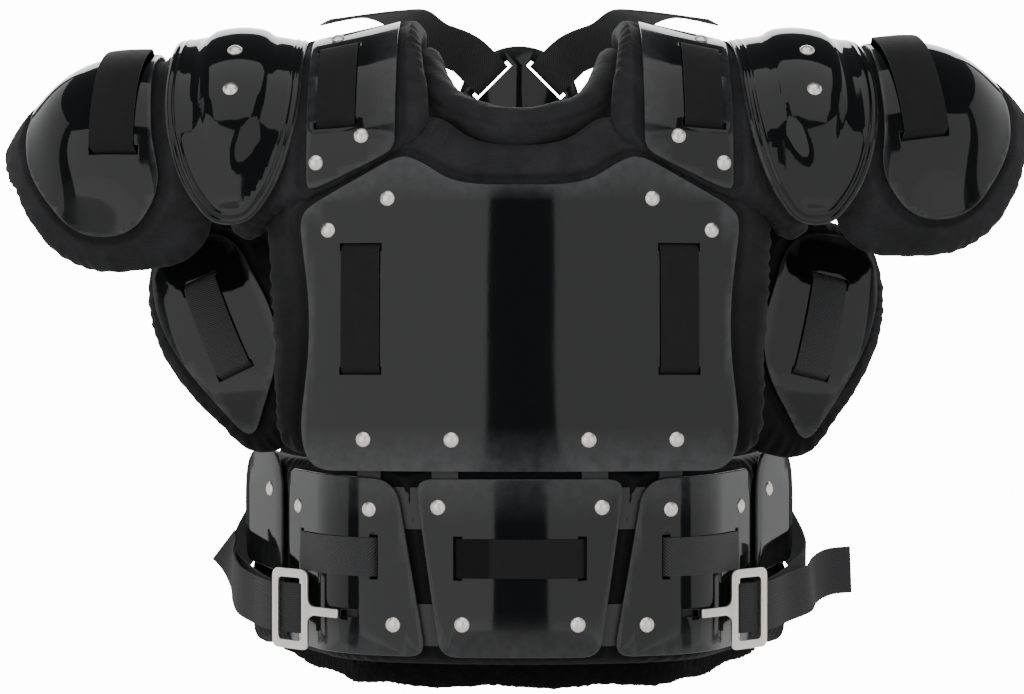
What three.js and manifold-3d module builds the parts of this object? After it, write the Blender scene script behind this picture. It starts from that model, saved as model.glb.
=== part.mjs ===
// Umpire chest protector: moulded plates riveted and looped onto padded panels, held by a back harness.
// Millimetres. +X is the wearer's left, +Y points to the back, +Z is up.
// The origin is the middle of the shoulder rest, and the plates face -Y.
// Left and right pieces are named as seen from the front, so right is +X.

import * as THREE from 'three';
import { mergeVertices } from 'three/addons/utils/BufferGeometryUtils.js';
import Module from 'manifold-3d';

const wasm = await Module();
wasm.setup();

const DEGREE = Math.PI / 180;

// Stacking above the face of a pad, which is lift 0: strips, then plates, then loops of webbing.
const STRIP_LIFT = { top: 2.3, bottom: 0.9 };
const PLATE_LIFT = { top: 5.8, bottom: 3.2 };
const LOOP = { width: 26, thickness: 1.2, under: 2.0, over: 7.2, slotReach: 2.4, tail: 13 };
const SLOT = { length: 29, width: 5.4 };
const RIVET = { radius: 5.2, height: 2.8, root: 1.0, sides: 7 };

// Plan sections, walked from the middle of the front: arcs of one radius, each up to an arc length.
const CHEST = {
  front: -130,
  arcs: [{ radius: 450, upTo: 150 }, { radius: 46, upTo: 220 }],
  leanFrom: -275,
  lean: 0.07,
  padThickness: 22,
};
const BELLY = {
  front: -130,
  arcs: [{ radius: 300, upTo: 90 }, { radius: 75, upTo: 152 }, { radius: Infinity, upTo: 400 }],
  padThickness: 18,
  padHalf: 302,
  padTop: -268,
  padBottom: -405,
};

// The shoulder yoke is a cone about a left-to-right axis that narrows towards the arm.
const YOKE = { y: -5, z: -72, radius: 108, at: 83, narrowing: 0.22, arc: 110, padThickness: 16 };
// Shoulder caps ride over the yoke on the same axis, each turned out a little.
const CAP = { radius: 104, crown: 6, half: 47, arc: 100, boss: 8, top: 2.6 };
const CAP_SIDES = { right: { x: 192, turn: 5 }, left: { x: 195, turn: 1 } };
// Arm guards are patches of an ellipsoid over the point of the shoulder.
const ARM = {
  x: 236, z: -60, out: 129, deep: 88, high: 78, uArc: 120, vArc: 85, drop: 2.2, dome: 9,
  padThickness: 15,
};
// Each arm guard is tilted about its middle and shifted: the left one droops and the right one is raised.
const ARM_SIDES = { right: { tilt: -3, up: 2 }, left: { tilt: 4, up: -4 } };
// Rib guards hang beside the chest, turned out and tilted.
const RIB = { x: 215, y: -20, z: -183, bend: 250, turn: 18, padThickness: 17 };
const RIB_SIDES = { right: { tilt: 13 }, left: { tilt: 24 } };

const COLLAR = { sides: 9, rings: 14 };
const DISC = { y: 114, z: -8, radius: 46.5, thickness: 3, slotFrom: 29, slotLength: 37, slotWidth: 5.4 };
const STRAP = { shoulderWidth: 32, waistWidth: 34, thickness: 1.3 };
const HOOK = {
  slotAt: 121, z: -371, lift: 10, turn: 45, thickness: 2.4,
  tang: 31, tangWidth: 6, ringWidth: 37, ringHeight: 55, bar: 6,
  keeperAt: 46, keeperBack: 5.6, keeperRadius: 1.2,
};

const FINISH = {
  plastic: { color: 0x141517, roughness: 0.2, metalness: 0 },
  pad: { color: 0x0d0d0e, roughness: 0.85, metalness: 0 },
  lining: { color: 0x121213, roughness: 0.95, metalness: 0 },
  webbing: { color: 0x18181a, roughness: 0.8, metalness: 0 },
  strip: { color: 0x1b1c1e, roughness: 0.5, metalness: 0 },
  nickel: { color: 0xd9d3ca, roughness: 0.3, metalness: 1 },
};

function mesh(name, geometry, finish) {
  const piece = new THREE.Mesh(geometry, new THREE.MeshStandardMaterial(finish));
  piece.name = name;
  return piece;
}

// A geometry from points and triangles, turned right side out if it is inside out.
function closedGeometry(points, faces) {
  let volume = 0;
  for (const [a, b, c] of faces) {
    volume += points[a].dot(points[b].clone().cross(points[c]));
  }
  const order = volume < 0 ? faces.map(([a, b, c]) => [a, c, b]) : faces;
  const geometry = new THREE.BufferGeometry().setFromPoints(points);
  geometry.setIndex(order.flat());
  geometry.computeVertexNormals();
  return geometry;
}

function solidOf(geometry) {
  const bare = geometry.clone();
  bare.deleteAttribute('normal');
  bare.deleteAttribute('uv');
  const merged = mergeVertices(bare, 1e-4);
  const vertProperties = new Float32Array(merged.attributes.position.array);
  const triVerts = new Uint32Array(merged.index.array);
  return new wasm.Manifold(new wasm.Mesh({ numProp: 3, vertProperties, triVerts }));
}

function geometryOf(solid) {
  const { vertProperties, triVerts } = solid.getMesh();
  const geometry = new THREE.BufferGeometry();
  geometry.setAttribute('position', new THREE.BufferAttribute(vertProperties, 3));
  geometry.setIndex(new THREE.BufferAttribute(triVerts, 1));
  geometry.computeVertexNormals();
  return geometry;
}

function joined(first, ...others) {
  const whole = others.map(solidOf).reduce((sum, part) => sum.add(part), solidOf(first));
  return geometryOf(whole);
}

function cut(first, ...cutters) {
  const rest = cutters.map(solidOf).reduce((left, cutter) => left.subtract(cutter), solidOf(first));
  return geometryOf(rest);
}

// A closed outline from rows of [u, v, cut], where cut is how far back from the corner its rounding starts.
function outline(corners, steps = 3) {
  const shape = new THREE.Shape();
  const corner = (i) => new THREE.Vector2(...corners[(i + corners.length) % corners.length]);
  corners.forEach(([, , cut], i) => {
    const here = corner(i);
    const towards = (other) => {
      const side = other.sub(here);
      const reach = Math.min(cut, side.length() * 0.48);
      return side.setLength(reach).add(here);
    };
    const start = towards(corner(i - 1));
    const end = towards(corner(i + 1));
    if (i === 0) {
      shape.moveTo(start.x, start.y);
    } else {
      shape.lineTo(start.x, start.y);
    }
    if (cut > 0) {
      shape.quadraticCurveTo(here.x, here.y, end.x, end.y);
    }
  });
  return shape.getPoints(steps);
}

// The whole outline of a symmetrical piece, from the rows of its +u half listed from bottom to top.
function bothHalves(half) {
  const other = half.map(([u, v, cut]) => [-u, v, cut]).reverse();
  return [...half, ...other];
}

// A rectangular hole, long along the direction given by turn.
function slotHole(u, v, length, width, turn = 0) {
  const along = new THREE.Vector2(Math.cos(turn), Math.sin(turn)).multiplyScalar(length / 2);
  const across = new THREE.Vector2(-Math.sin(turn), Math.cos(turn)).multiplyScalar(width / 2);
  const signs = [[1, 1], [1, -1], [-1, -1], [-1, 1]];
  return signs.map(([a, b]) => {
    return new THREE.Vector2(u, v).addScaledVector(along, a).addScaledVector(across, b);
  });
}

// How near a line a point counts as on it.
const SNAP = 2e-3;

function splitPolygons(polygons, axis, line) {
  const pieces = [];
  for (const polygon of polygons) {
    const low = [];
    const high = [];
    polygon.forEach((p, i) => {
      const q = polygon[(i + 1) % polygon.length];
      const a = p[axis] - line;
      const b = q[axis] - line;
      if (a <= SNAP) low.push(p);
      if (a >= -SNAP) high.push(p);
      if (Math.min(a, b) < -SNAP && Math.max(a, b) > SNAP) {
        const cross = p.clone().lerp(q, a / (a - b));
        low.push(cross);
        high.push(cross);
      }
    });
    for (const piece of [low, high]) {
      if (piece.length > 2) pieces.push(piece);
    }
  }
  return pieces;
}

// Evenly spaced lines between two ends, without the ends.
function evenLines(low, high, step) {
  const count = Math.max(1, Math.round((high - low) / step));
  return Array.from({ length: count - 1 }, (_, i) => low + ((i + 1) * (high - low)) / count);
}

// Lines across a plan section, close enough that flat facets stay within a small sag of its arcs.
function bendLines({ arcs }, sag = 0.35) {
  const lines = [0];
  let from = 0;
  for (const { radius, upTo } of arcs) {
    const between = radius === Infinity ? [] : evenLines(from, upTo, Math.sqrt(8 * radius * sag));
    lines.push(...between, upTo);
    from = upTo;
  }
  return [...lines.slice(1).map((s) => -s), ...lines];
}

// The loops of directed edges that are left where neighbouring rings have cancelled each other.
function outerLoops(rings) {
  const next = new Map();
  const key = (i, j) => `${i}-${j}`;
  const edges = new Map(rings.flatMap((ring) => {
    return ring.map((i, k) => [key(i, ring[(k + 1) % ring.length]), [i, ring[(k + 1) % ring.length]]]);
  }));
  for (const [i, j] of edges.values()) {
    if (!edges.has(key(j, i))) next.set(i, j);
  }
  const loops = [];
  while (next.size > 0) {
    const loop = [];
    let [at] = next.keys();
    while (next.has(at)) {
      loop.push(at);
      const following = next.get(at);
      next.delete(at);
      at = following;
    }
    loops.push(loop);
  }
  return loops;
}

// Outward mitre at every vertex of the open edges of a flat mesh.
function edgeMitres(points, edges) {
  const normals = new Map();
  const edgeNormal = ([i, j]) => {
    const along = points[j].clone().sub(points[i]).normalize();
    return new THREE.Vector2(along.y, -along.x);
  };
  for (const edge of edges) {
    for (const i of edge) {
      normals.set(i, [...(normals.get(i) ?? []), edgeNormal(edge)]);
    }
  }
  const mitres = new Map();
  for (const [i, [a, b]] of normals) {
    const stretch = 1 / Math.max(0.5, 1 + a.dot(b));
    mitres.set(i, a.clone().add(b).multiplyScalar(stretch));
  }
  return mitres;
}

// A flat outline as triangles: it is cut along the lines, and each cell of the grid is filled.
function flatSheet(contour, uLines, vLines) {
  const faces = THREE.ShapeUtils.triangulateShape(contour, []);
  let polygons = faces.map((face) => face.map((i) => contour[i]));
  for (const line of uLines) polygons = splitPolygons(polygons, 'x', line);
  for (const line of vLines) polygons = splitPolygons(polygons, 'y', line);

  const points = [];
  const known = new Map();
  const indexOf = (p) => {
    const key = `${Math.round(p.x * 1e3)},${Math.round(p.y * 1e3)}`;
    if (!known.has(key)) {
      known.set(key, points.length);
      points.push(p);
    }
    return known.get(key);
  };
  const cells = new Map();
  for (const polygon of polygons) {
    const ring = polygon.map(indexOf).filter((id, i, all) => id !== all[(i + 1) % all.length]);
    if (ring.length < 3) continue;
    const middle = polygon.reduce((sum, p) => sum.add(p), new THREE.Vector2()).divideScalar(polygon.length);
    const column = uLines.filter((line) => line < middle.x).length;
    const row = vLines.filter((line) => line < middle.y).length;
    const cell = `${column},${row}`;
    cells.set(cell, [...(cells.get(cell) ?? []), ring]);
  }

  const rim = new Set(outerLoops([...cells.values()].flat()).flat());
  const onLine = (value, lines) => lines.some((line) => Math.abs(line - value) < SNAP);
  const kept = (i) => rim.has(i) || (onLine(points[i].x, uLines) && onLine(points[i].y, vLines));
  const sheet = [];
  for (const rings of cells.values()) {
    const loops = outerLoops(rings).map((loop) => loop.filter(kept)).filter((loop) => loop.length > 2);
    for (const loop of loops) {
      const inside = THREE.ShapeUtils.triangulateShape(loop.map((i) => points[i]), []);
      sheet.push(...inside.map((face) => face.map((i) => loop[i])));
    }
  }
  return { points, sheet };
}

// A bent sheet: a flat outline, cut along lines of u and v and laid on a surface by place(u, v, lift).
// Each layer has a lift and how far its edge grows past the outline, from the face to the back.
function slab({ contour, place, layers, uLines = [], vLines = [] }) {
  const rim = THREE.ShapeUtils.isClockWise(contour) ? [...contour].reverse() : contour;
  const { points: flat, sheet } = flatSheet(rim, uLines, vLines);
  const directed = sheet.flatMap(([a, b, c]) => [[a, b], [b, c], [c, a]]);
  const seen = new Set(directed.map(([i, j]) => `${i}-${j}`));
  const edges = directed.filter(([i, j]) => !seen.has(`${j}-${i}`));
  const used = new Set(sheet.flat());
  const mitres = edgeMitres(flat, edges);

  const points = [];
  const faces = [];
  const levels = layers.map(({ lift, grow = 0 }, level) => {
    const whole = level === 0 || level === layers.length - 1;
    const index = new Map();
    flat.forEach((p, i) => {
      if (!used.has(i) || (!whole && !mitres.has(i))) return;
      const at = mitres.has(i) ? p.clone().addScaledVector(mitres.get(i), grow) : p;
      index.set(i, points.length);
      points.push(place(at.x, at.y, lift));
    });
    return index;
  });
  const face = levels[0];
  const back = levels.at(-1);
  for (const [a, b, c] of sheet) {
    faces.push([face.get(a), face.get(b), face.get(c)]);
    faces.push([back.get(a), back.get(c), back.get(b)]);
  }
  for (let level = 0; level + 1 < levels.length; level += 1) {
    const [upper, lower] = [levels[level], levels[level + 1]];
    for (const [i, j] of edges) {
      faces.push([upper.get(i), lower.get(i), lower.get(j)]);
      faces.push([upper.get(i), lower.get(j), upper.get(j)]);
    }
  }
  return closedGeometry(points, faces);
}

// Layers of a soft pad whose edge swells between its face and its back, less so along a sewn seam.
const SEAM_SWELL = 1.5;

function padLayers(thickness, swell = 4) {
  return [{ lift: 0 }, { lift: -thickness / 2, grow: swell }, { lift: -thickness }];
}

const plateLayers = [{ lift: PLATE_LIFT.top }, { lift: PLATE_LIFT.bottom }];
const stripLayers = [{ lift: STRIP_LIFT.top }, { lift: STRIP_LIFT.bottom }];

// A solid through a row of closed rings that have the same number of points.
// The second half of a ring is split along the other diagonal, so that both faces of a twisted strap match.
function loft(rings) {
  const count = rings[0].length;
  const points = rings.flat();
  const faces = [];
  for (let r = 0; r + 1 < rings.length; r += 1) {
    for (let k = 0; k < count; k += 1) {
      const a = r * count + k;
      const b = r * count + ((k + 1) % count);
      if (k < count / 2) {
        faces.push([a, b, b + count], [a, b + count, a + count]);
      } else {
        faces.push([a, b, a + count], [b, b + count, a + count]);
      }
    }
  }
  const last = (rings.length - 1) * count;
  for (let k = 1; k + 1 < count; k += 1) {
    faces.push([0, k + 1, k], [last, last + k, last + k + 1]);
  }
  return closedGeometry(points, faces);
}

// A strap along rows of { at, out, width }: out is the way its face looks.
// Where out is left off, the strap stands upright. Its edges never change places between two rows.
function ribbon(rows, width, thickness) {
  let edge = null;
  const rings = rows.map((row, i) => {
    const before = rows[Math.max(0, i - 1)].at;
    const after = rows[Math.min(rows.length - 1, i + 1)].at;
    const along = after.clone().sub(before).normalize();
    const out = row.out ? row.out.clone() : new THREE.Vector3(-along.y, along.x, 0);
    out.addScaledVector(along, -out.dot(along)).setLength(thickness / 2);
    const across = along.clone().cross(out).setLength((row.width ?? width) / 2);
    if (edge && across.dot(edge) < 0) {
      out.negate();
      across.negate();
    }
    edge = across;
    const at = (a, o) => row.at.clone().addScaledVector(across, a).addScaledVector(out, o);
    return [at(-1, 1), at(1, 1), at(1, -1), at(-1, -1)];
  });
  return loft(rings);
}

// A loop of webbing over a plate, between two slots: it dives through each and ends under the plate.
function webbingLoop(place, from, to, bends, across = 1, rise = 0) {
  const start = new THREE.Vector2(...from);
  const along = new THREE.Vector2(...to).sub(start);
  const length = along.length();
  along.normalize();
  const side = new THREE.Vector2(-along.y, along.x);
  const { slotReach, tail } = LOOP;
  const under = LOOP.under - rise / 2;
  const over = LOOP.over + rise;
  const between = bends.filter((d) => d > slotReach && d < length - slotReach).map((d) => [d, over]);
  const rows = [
    [-tail, under], [-slotReach, under], [slotReach, over],
    ...between,
    [length - slotReach, over], [length + slotReach, under], [length + tail, under],
  ];
  const rings = rows.map(([distance, lift]) => {
    const edge = (turn, offset) => {
      const middle = start.clone().addScaledVector(along, distance);
      const at = middle.addScaledVector(side, turn * LOOP.width / 2);
      return place(at.x, at.y, lift + offset * LOOP.thickness);
    };
    const turns = Array.from({ length: across + 1 }, (_, k) => (2 * k) / across - 1);
    return [...turns.map((t) => edge(t, 0.5)), ...turns.reverse().map((t) => edge(t, -0.5))];
  });
  return loft(rings);
}

function rivetHead(place, u, v, lift) {
  const foot = place(u, v, lift);
  const axis = place(u, v, lift + 1).sub(foot).normalize();
  const { radius, height, root, sides } = RIVET;
  const profile = [
    [0, -root], [radius, -root], [radius, 0.3 * height], [0.62 * radius, 0.84 * height], [0, height],
  ];
  const head = new THREE.LatheGeometry(profile.map((p) => new THREE.Vector2(...p)), sides);
  head.applyQuaternion(new THREE.Quaternion().setFromUnitVectors(new THREE.Vector3(0, 1, 0), axis));
  return head.translate(foot.x, foot.y, foot.z);
}

// A moulded plate with its slots cut through and its rivet heads on its face.
function plate({ place, slots = [], rivets = [], layers = plateLayers, ...shape }) {
  const face = layers[0].lift;
  const through = [{ lift: face + 3 }, { lift: layers.at(-1).lift - 3 }];
  const cutters = slots.map((contour) => slab({ ...shape, contour, place, layers: through }));
  const body = cut(slab({ ...shape, place, layers }), ...cutters);
  return joined(body, ...rivets.map(([u, v]) => rivetHead(place, u, v, face)));
}

// Surfaces: each takes a place on its flat outline and a lift to a point in space.

function planPoint({ front, arcs }, s) {
  let [x, y, heading, walked] = [0, front, 0, 0];
  for (const { radius, upTo } of arcs) {
    const length = Math.min(Math.abs(s), upTo) - walked;
    if (length <= 0) break;
    const next = heading + length / radius;
    if (radius === Infinity) {
      x += length * Math.cos(heading);
      y += length * Math.sin(heading);
    } else {
      x += radius * (Math.sin(next) - Math.sin(heading));
      y += radius * (Math.cos(heading) - Math.cos(next));
    }
    heading = next;
    walked += length;
  }
  const side = Math.sign(s) || 1;
  return { x: side * x, y, outX: side * Math.sin(heading), outY: -Math.cos(heading) };
}

function chestPlace(s, z, lift) {
  const { x, y, outX, outY } = planPoint(CHEST, s);
  const back = (z - CHEST.leanFrom) * CHEST.lean;
  return new THREE.Vector3(x + outX * lift, y + outY * lift + back, z);
}

function bellyPlace(s, z, lift) {
  const { x, y, outX, outY } = planPoint(BELLY, s);
  return new THREE.Vector3(x + outX * lift, y + outY * lift, z);
}

function yokePlace(x, v, lift) {
  const radius = YOKE.radius - YOKE.narrowing * (x - YOKE.at) + lift;
  const turn = v / YOKE.arc;
  return new THREE.Vector3(x, YOKE.y - radius * Math.cos(turn), YOKE.z + radius * Math.sin(turn));
}

function smooth(t) {
  const k = Math.min(1, Math.max(0, t));
  return k * k * (3 - 2 * k);
}

// The egg-shaped boss of a shoulder cap: its point is at the front and it is widest near the top.
const BOSS = { tip: -2, widest: 96, end: 178, half: 27, bank: 0.45 };

function capPlace(u, v, lift) {
  const { tip, widest, end, half, bank } = BOSS;
  const reach = v < widest ? (widest - v) / (widest - tip) : (v - widest) / (end - widest);
  const edge = Math.hypot(u / half, reach);
  const raise = CAP.boss * smooth((1 - edge) / bank);
  const radius = CAP.radius - CAP.crown * (u / CAP.half) ** 2 + lift + raise;
  const turn = v / CAP.arc;
  return new THREE.Vector3(u, -radius * Math.cos(turn), radius * Math.sin(turn));
}

// The dome of an arm plate: its middle and half sizes, in degrees, on the ellipsoid.
const ARM_DOME = { out: 27, outHalf: 29, round: 34, roundHalf: 80, bank: 0.8 };

function armRaise(u, v) {
  const out = (u / ARM.uArc / DEGREE - ARM_DOME.out) / ARM_DOME.outHalf;
  const round = (v / ARM.vArc / DEGREE - ARM_DOME.round) / ARM_DOME.roundHalf;
  return ARM.dome * smooth((1 - Math.hypot(out, round)) / ARM_DOME.bank);
}

// Below its middle the front of the cup hangs nearly straight: its ellipsoid is drawn out downwards there.
function armPlace(u, v, lift) {
  const out = u / ARM.uArc;
  const drawn = v < 0 ? ARM.drop : 1;
  const round = v / ARM.vArc / drawn;
  const unit = new THREE.Vector3(
    Math.sin(out), -Math.cos(out) * Math.cos(round), Math.cos(out) * Math.sin(round));
  const size = new THREE.Vector3(ARM.out, ARM.deep, ARM.high * drawn);
  const normal = unit.clone().divide(size).normalize();
  return unit.multiply(size).add(new THREE.Vector3(ARM.x, 0, ARM.z)).addScaledVector(normal, lift);
}

function armPlatePlace(u, v, lift) {
  return armPlace(u, v, lift + armRaise(u, v));
}

// An outline on the ellipsoid from rows of [out, round, cut]: the first two are in degrees.
function armOutline(corners, steps) {
  const perOut = ARM.uArc * DEGREE;
  const perRound = ARM.vArc * DEGREE;
  return outline(corners.map(([out, round, cut]) => [out * perOut, round * perRound, cut]), steps);
}

function ribPlace(u, v, lift) {
  return new THREE.Vector3(u, (u * u + v * v) / (2 * RIB.bend) - lift, v);
}

// Lines along which the sheets on each surface are cut, shared by all its layers so that they nest.
const CHEST_LINES = bendLines(CHEST);
const BELLY_LINES = bendLines(BELLY);
const YOKE_LINES = evenLines(-60, 240, 18);
const CAP_LINES = { u: evenLines(-60, 60, 20), v: evenLines(-45, 219, 33) };
const ARM_LINES = { u: [...evenLines(-40, 200, 27), 26], v: evenLines(-120, 240, 24) };
const ARM_PAD_LINES = { u: evenLines(-40, 200, 48), v: evenLines(-120, 240, 36) };
const RIB_LINES = { u: evenLines(-60, 60, 24), v: evenLines(-90, 90, 26) };

// Chest: one broad plate on its pad, with a scooped top and two loops.
const CHEST_PLATE_HALF = [
  [141, -274, 16], [150, -250, 20], [141, -176, 60], [151, -104, 14], [143, -95, 10],
  [80, -61, 14], [66, -66, 12], [42, -82, 26],
];
const CHEST_PAD_HALF = [
  [170, -256.5, 12], [179, -190, 40], [180, -108, 18], [150, -94, 20], [80, -60.5, 8], [62, -49.5, 8],
  [38, -57, 10], [16, -59.5, 10],
];
const CHEST_LOOP = { s: 107, high: -123.6, low: -207 };
const CHEST_RIVETS = [[88.7, -91], [130, -112], [45.4, -253], [104.7, -253]];

function mirrored(pairs) {
  return pairs.flatMap(([u, v]) => [[u, v], [-u, v]]);
}

function addChest(group) {
  const { s, high, low } = CHEST_LOOP;
  const slots = mirrored([[s, high], [s, low]]);
  group.add(mesh('chest_plate', plate({
    contour: outline(bothHalves(CHEST_PLATE_HALF)),
    slots: slots.map(([u, v]) => slotHole(u, v, SLOT.length, SLOT.width)),
    rivets: mirrored(CHEST_RIVETS),
    place: chestPlace,
    uLines: CHEST_LINES,
  }), FINISH.plastic));
  group.add(mesh('chest_pad', slab({
    contour: outline(bothHalves(CHEST_PAD_HALF), 2),
    layers: padLayers(CHEST.padThickness, SEAM_SWELL),
    place: chestPlace,
    uLines: CHEST_LINES,
  }), FINISH.pad));
  for (const [side, sign] of [['right', 1], ['left', -1]]) {
    const loop = webbingLoop(chestPlace, [sign * s, high], [sign * s, low], [], 2);
    group.add(mesh(`chest_loop_${side}`, loop, FINISH.webbing));
  }
}

// Belly: a middle plate, two side plates and two flank plates on one bent pad, with a lining inside.
const BELLY_CENTER_HALF = [[53, -398, 12], [70, -279, 12]];
const BELLY_SIDE = [[207, -398, 12], [207, -276, 12], [83, -279, 18], [62, -398, 12]];
const FLANK = [
  [296, -347, 10], [300, -285, 30], [284, -264, 24], [238, -262, 24], [222, -280, 16], [222, -352, 8],
];
const BELLY_LOOP = { z: -332, centerS: 41, sideFrom: 98, sideTo: 180 };
const BELLY_CENTER_RIVETS = [[54, -298], [38, -376]];
const BELLY_SIDE_RIVETS = [[101, -300], [187, -302], [84.5, -377]];
const FLANK_RIVETS = [[245, -293]];
const HOOK_SLOT = { length: 14, width: 4 };
const LINK_STRIP = { half: 122, height: 28, upper: -299, lower: -377 };
const HANGER = {
  width: 18,
  at: [50, 103],
  rows: [['chest', -248], ['chest', -255], ['belly', -275], ['belly', -282]],
};
const LINING = { half: 286, top: -292, bottom: -421, wave: 2.5, waves: 7, lift: -19.2, thickness: 5 };

function liningOutline() {
  const { half, top, bottom, wave, waves } = LINING;
  const count = waves * 4;
  const hem = Array.from({ length: count + 1 }, (_, i) => {
    const s = -half + (2 * half * i) / count;
    return new THREE.Vector2(s, bottom + wave * Math.sin((i / 4) * 2 * Math.PI) + 6 * (s / half) ** 4);
  });
  return [...hem, new THREE.Vector2(half, top), new THREE.Vector2(-half, top)];
}

function addBelly(group) {
  const { z, centerS } = BELLY_LOOP;
  const upright = Math.PI / 2;
  const padCorners = [[BELLY.padHalf, BELLY.padBottom, 14], [BELLY.padHalf, BELLY.padTop, 24]];
  group.add(mesh('belly_pad', slab({
    contour: outline(bothHalves(padCorners), 2),
    layers: padLayers(BELLY.padThickness),
    place: bellyPlace,
    uLines: BELLY_LINES,
  }), FINISH.pad));
  group.add(mesh('belly_lining', slab({
    contour: liningOutline(),
    layers: [{ lift: LINING.lift }, { lift: LINING.lift - LINING.thickness }],
    place: bellyPlace,
    uLines: BELLY_LINES,
  }), FINISH.lining));
  group.add(mesh('belly_plate_center', plate({
    contour: outline(bothHalves(BELLY_CENTER_HALF)),
    slots: [centerS, -centerS].map((s) => slotHole(s, z, SLOT.length, SLOT.width, upright)),
    rivets: mirrored(BELLY_CENTER_RIVETS),
    place: bellyPlace,
    uLines: BELLY_LINES,
  }), FINISH.plastic));
  const centerBends = BELLY_LINES.map((s) => s + centerS).sort((a, b) => a - b);
  const centerLoop = webbingLoop(bellyPlace, [-centerS, z], [centerS, z], centerBends);
  group.add(mesh('belly_loop_center', centerLoop, FINISH.webbing));
  for (const [name, stripZ] of [['upper', LINK_STRIP.upper], ['lower', LINK_STRIP.lower]]) {
    const low = stripZ - LINK_STRIP.height / 2;
    const high = stripZ + LINK_STRIP.height / 2;
    group.add(mesh(`link_strip_${name}`, slab({
      contour: outline(bothHalves([[LINK_STRIP.half, low, 0], [LINK_STRIP.half, high, 0]])),
      layers: stripLayers,
      place: bellyPlace,
      uLines: BELLY_LINES,
    }), FINISH.strip));
  }
}

function addBellySide(group, side) {
  const { z, sideFrom, sideTo } = BELLY_LOOP;
  const upright = Math.PI / 2;
  group.add(mesh(`belly_plate_${side}`, plate({
    contour: outline(BELLY_SIDE),
    slots: [
      slotHole(sideFrom, z, SLOT.length, SLOT.width, upright),
      slotHole(sideTo, z, SLOT.length, SLOT.width, upright),
      slotHole(HOOK.slotAt - 4, HOOK.z, HOOK_SLOT.length, HOOK_SLOT.width),
    ],
    rivets: BELLY_SIDE_RIVETS,
    place: bellyPlace,
    uLines: BELLY_LINES,
  }), FINISH.plastic));
  const bends = BELLY_LINES.map((s) => s - sideFrom);
  const loop = webbingLoop(bellyPlace, [sideFrom, z], [sideTo, z], bends);
  group.add(mesh(`belly_loop_${side}`, loop, FINISH.webbing));
  group.add(mesh(`flank_plate_${side}`, plate({
    contour: outline(FLANK),
    rivets: FLANK_RIVETS,
    place: bellyPlace,
  }), FINISH.plastic));
  const middle = (STRIP_LIFT.top + STRIP_LIFT.bottom) / 2;
  HANGER.at.forEach((s, i) => {
    const rows = HANGER.rows.map(([section, stripZ]) => {
      const place = section === 'chest' ? chestPlace : bellyPlace;
      const at = place(s, stripZ, middle);
      return { at, out: place(s, stripZ, middle + 1).sub(at) };
    });
    const strip = ribbon(rows, HANGER.width, STRIP_LIFT.top - STRIP_LIFT.bottom);
    group.add(mesh(`hanger_strip_${side}_${i + 1}`, strip, FINISH.strip));
  });
}

// Shoulder: a yoke pad with the collarbone plate on it, and a domed cap over the outer half.
const COLLARBONE = [[145, -16, 8], [145, 150, 16], [132, 166, 14], [84, 168, 12], [84, 14, 8]];
const COLLARBONE_RIVETS = [[107, 24], [138, 6], [127, 132]];
const COLLARBONE_LOOP = { x: 125, low: 34, high: 112 };
const YOKE_PAD = [
  [193, -64, 8], [193, 152, 30], [151, 198, 30], [75, 206, 24], [74, 110, 20], [68, 60, 14], [66, 28, 8],
  [174, -37.2, 4],
];
const CAP_OUTLINE_HALF = [[13, -36, 12], [34, -8, 20], [47, 40, 30], [46, 150, 24], [40, 196, 18]];
const CAP_RIVETS = [[0, 89], [0, 54]];

function addShoulder(group, side) {
  const { x, low, high } = COLLARBONE_LOOP;
  group.add(mesh(`shoulder_pad_${side}`, slab({
    contour: outline(YOKE_PAD, 2),
    layers: padLayers(YOKE.padThickness, SEAM_SWELL),
    place: yokePlace,
    vLines: YOKE_LINES,
  }), FINISH.pad));
  group.add(mesh(`collarbone_plate_${side}`, plate({
    contour: outline(COLLARBONE),
    slots: [low, high].map((v) => slotHole(x, v, SLOT.length, SLOT.width)),
    rivets: COLLARBONE_RIVETS,
    place: yokePlace,
    vLines: YOKE_LINES,
  }), FINISH.plastic));
  const loop = webbingLoop(yokePlace, [x, low], [x, high], YOKE_LINES.map((v) => v - low));
  group.add(mesh(`collarbone_loop_${side}`, loop, FINISH.webbing));
  const cap = mesh(`shoulder_cap_${side}`, plate({
    contour: outline(bothHalves(CAP_OUTLINE_HALF)),
    layers: [{ lift: 0 }, { lift: -CAP.top }],
    rivets: CAP_RIVETS,
    place: capPlace,
    uLines: CAP_LINES.u,
    vLines: CAP_LINES.v,
  }), FINISH.plastic);
  cap.position.set(CAP_SIDES[side].x, YOKE.y, YOKE.z);
  cap.rotation.z = CAP_SIDES[side].turn * DEGREE;
  group.add(cap);
}

// Arm: a domed plate on a padded cup.
const ARM_PLATE = [
  [4, -12, 20], [14, -37, 20], [34, -40, 24], [52, -4, 32], [54, 40, 34], [40, 112, 45], [6, 112, 24],
  [6, 12, 12],
];
const ARM_PAD = [
  [-11, -50, 36], [50, -72, 55], [83, 10, 60], [80, 120, 50], [36, 152, 60], [2, 130, 40], [-11, 40, 40],
];
const ARM_LOOP = { low: [36, 10], high: [28, 110], rise: 3 };

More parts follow.
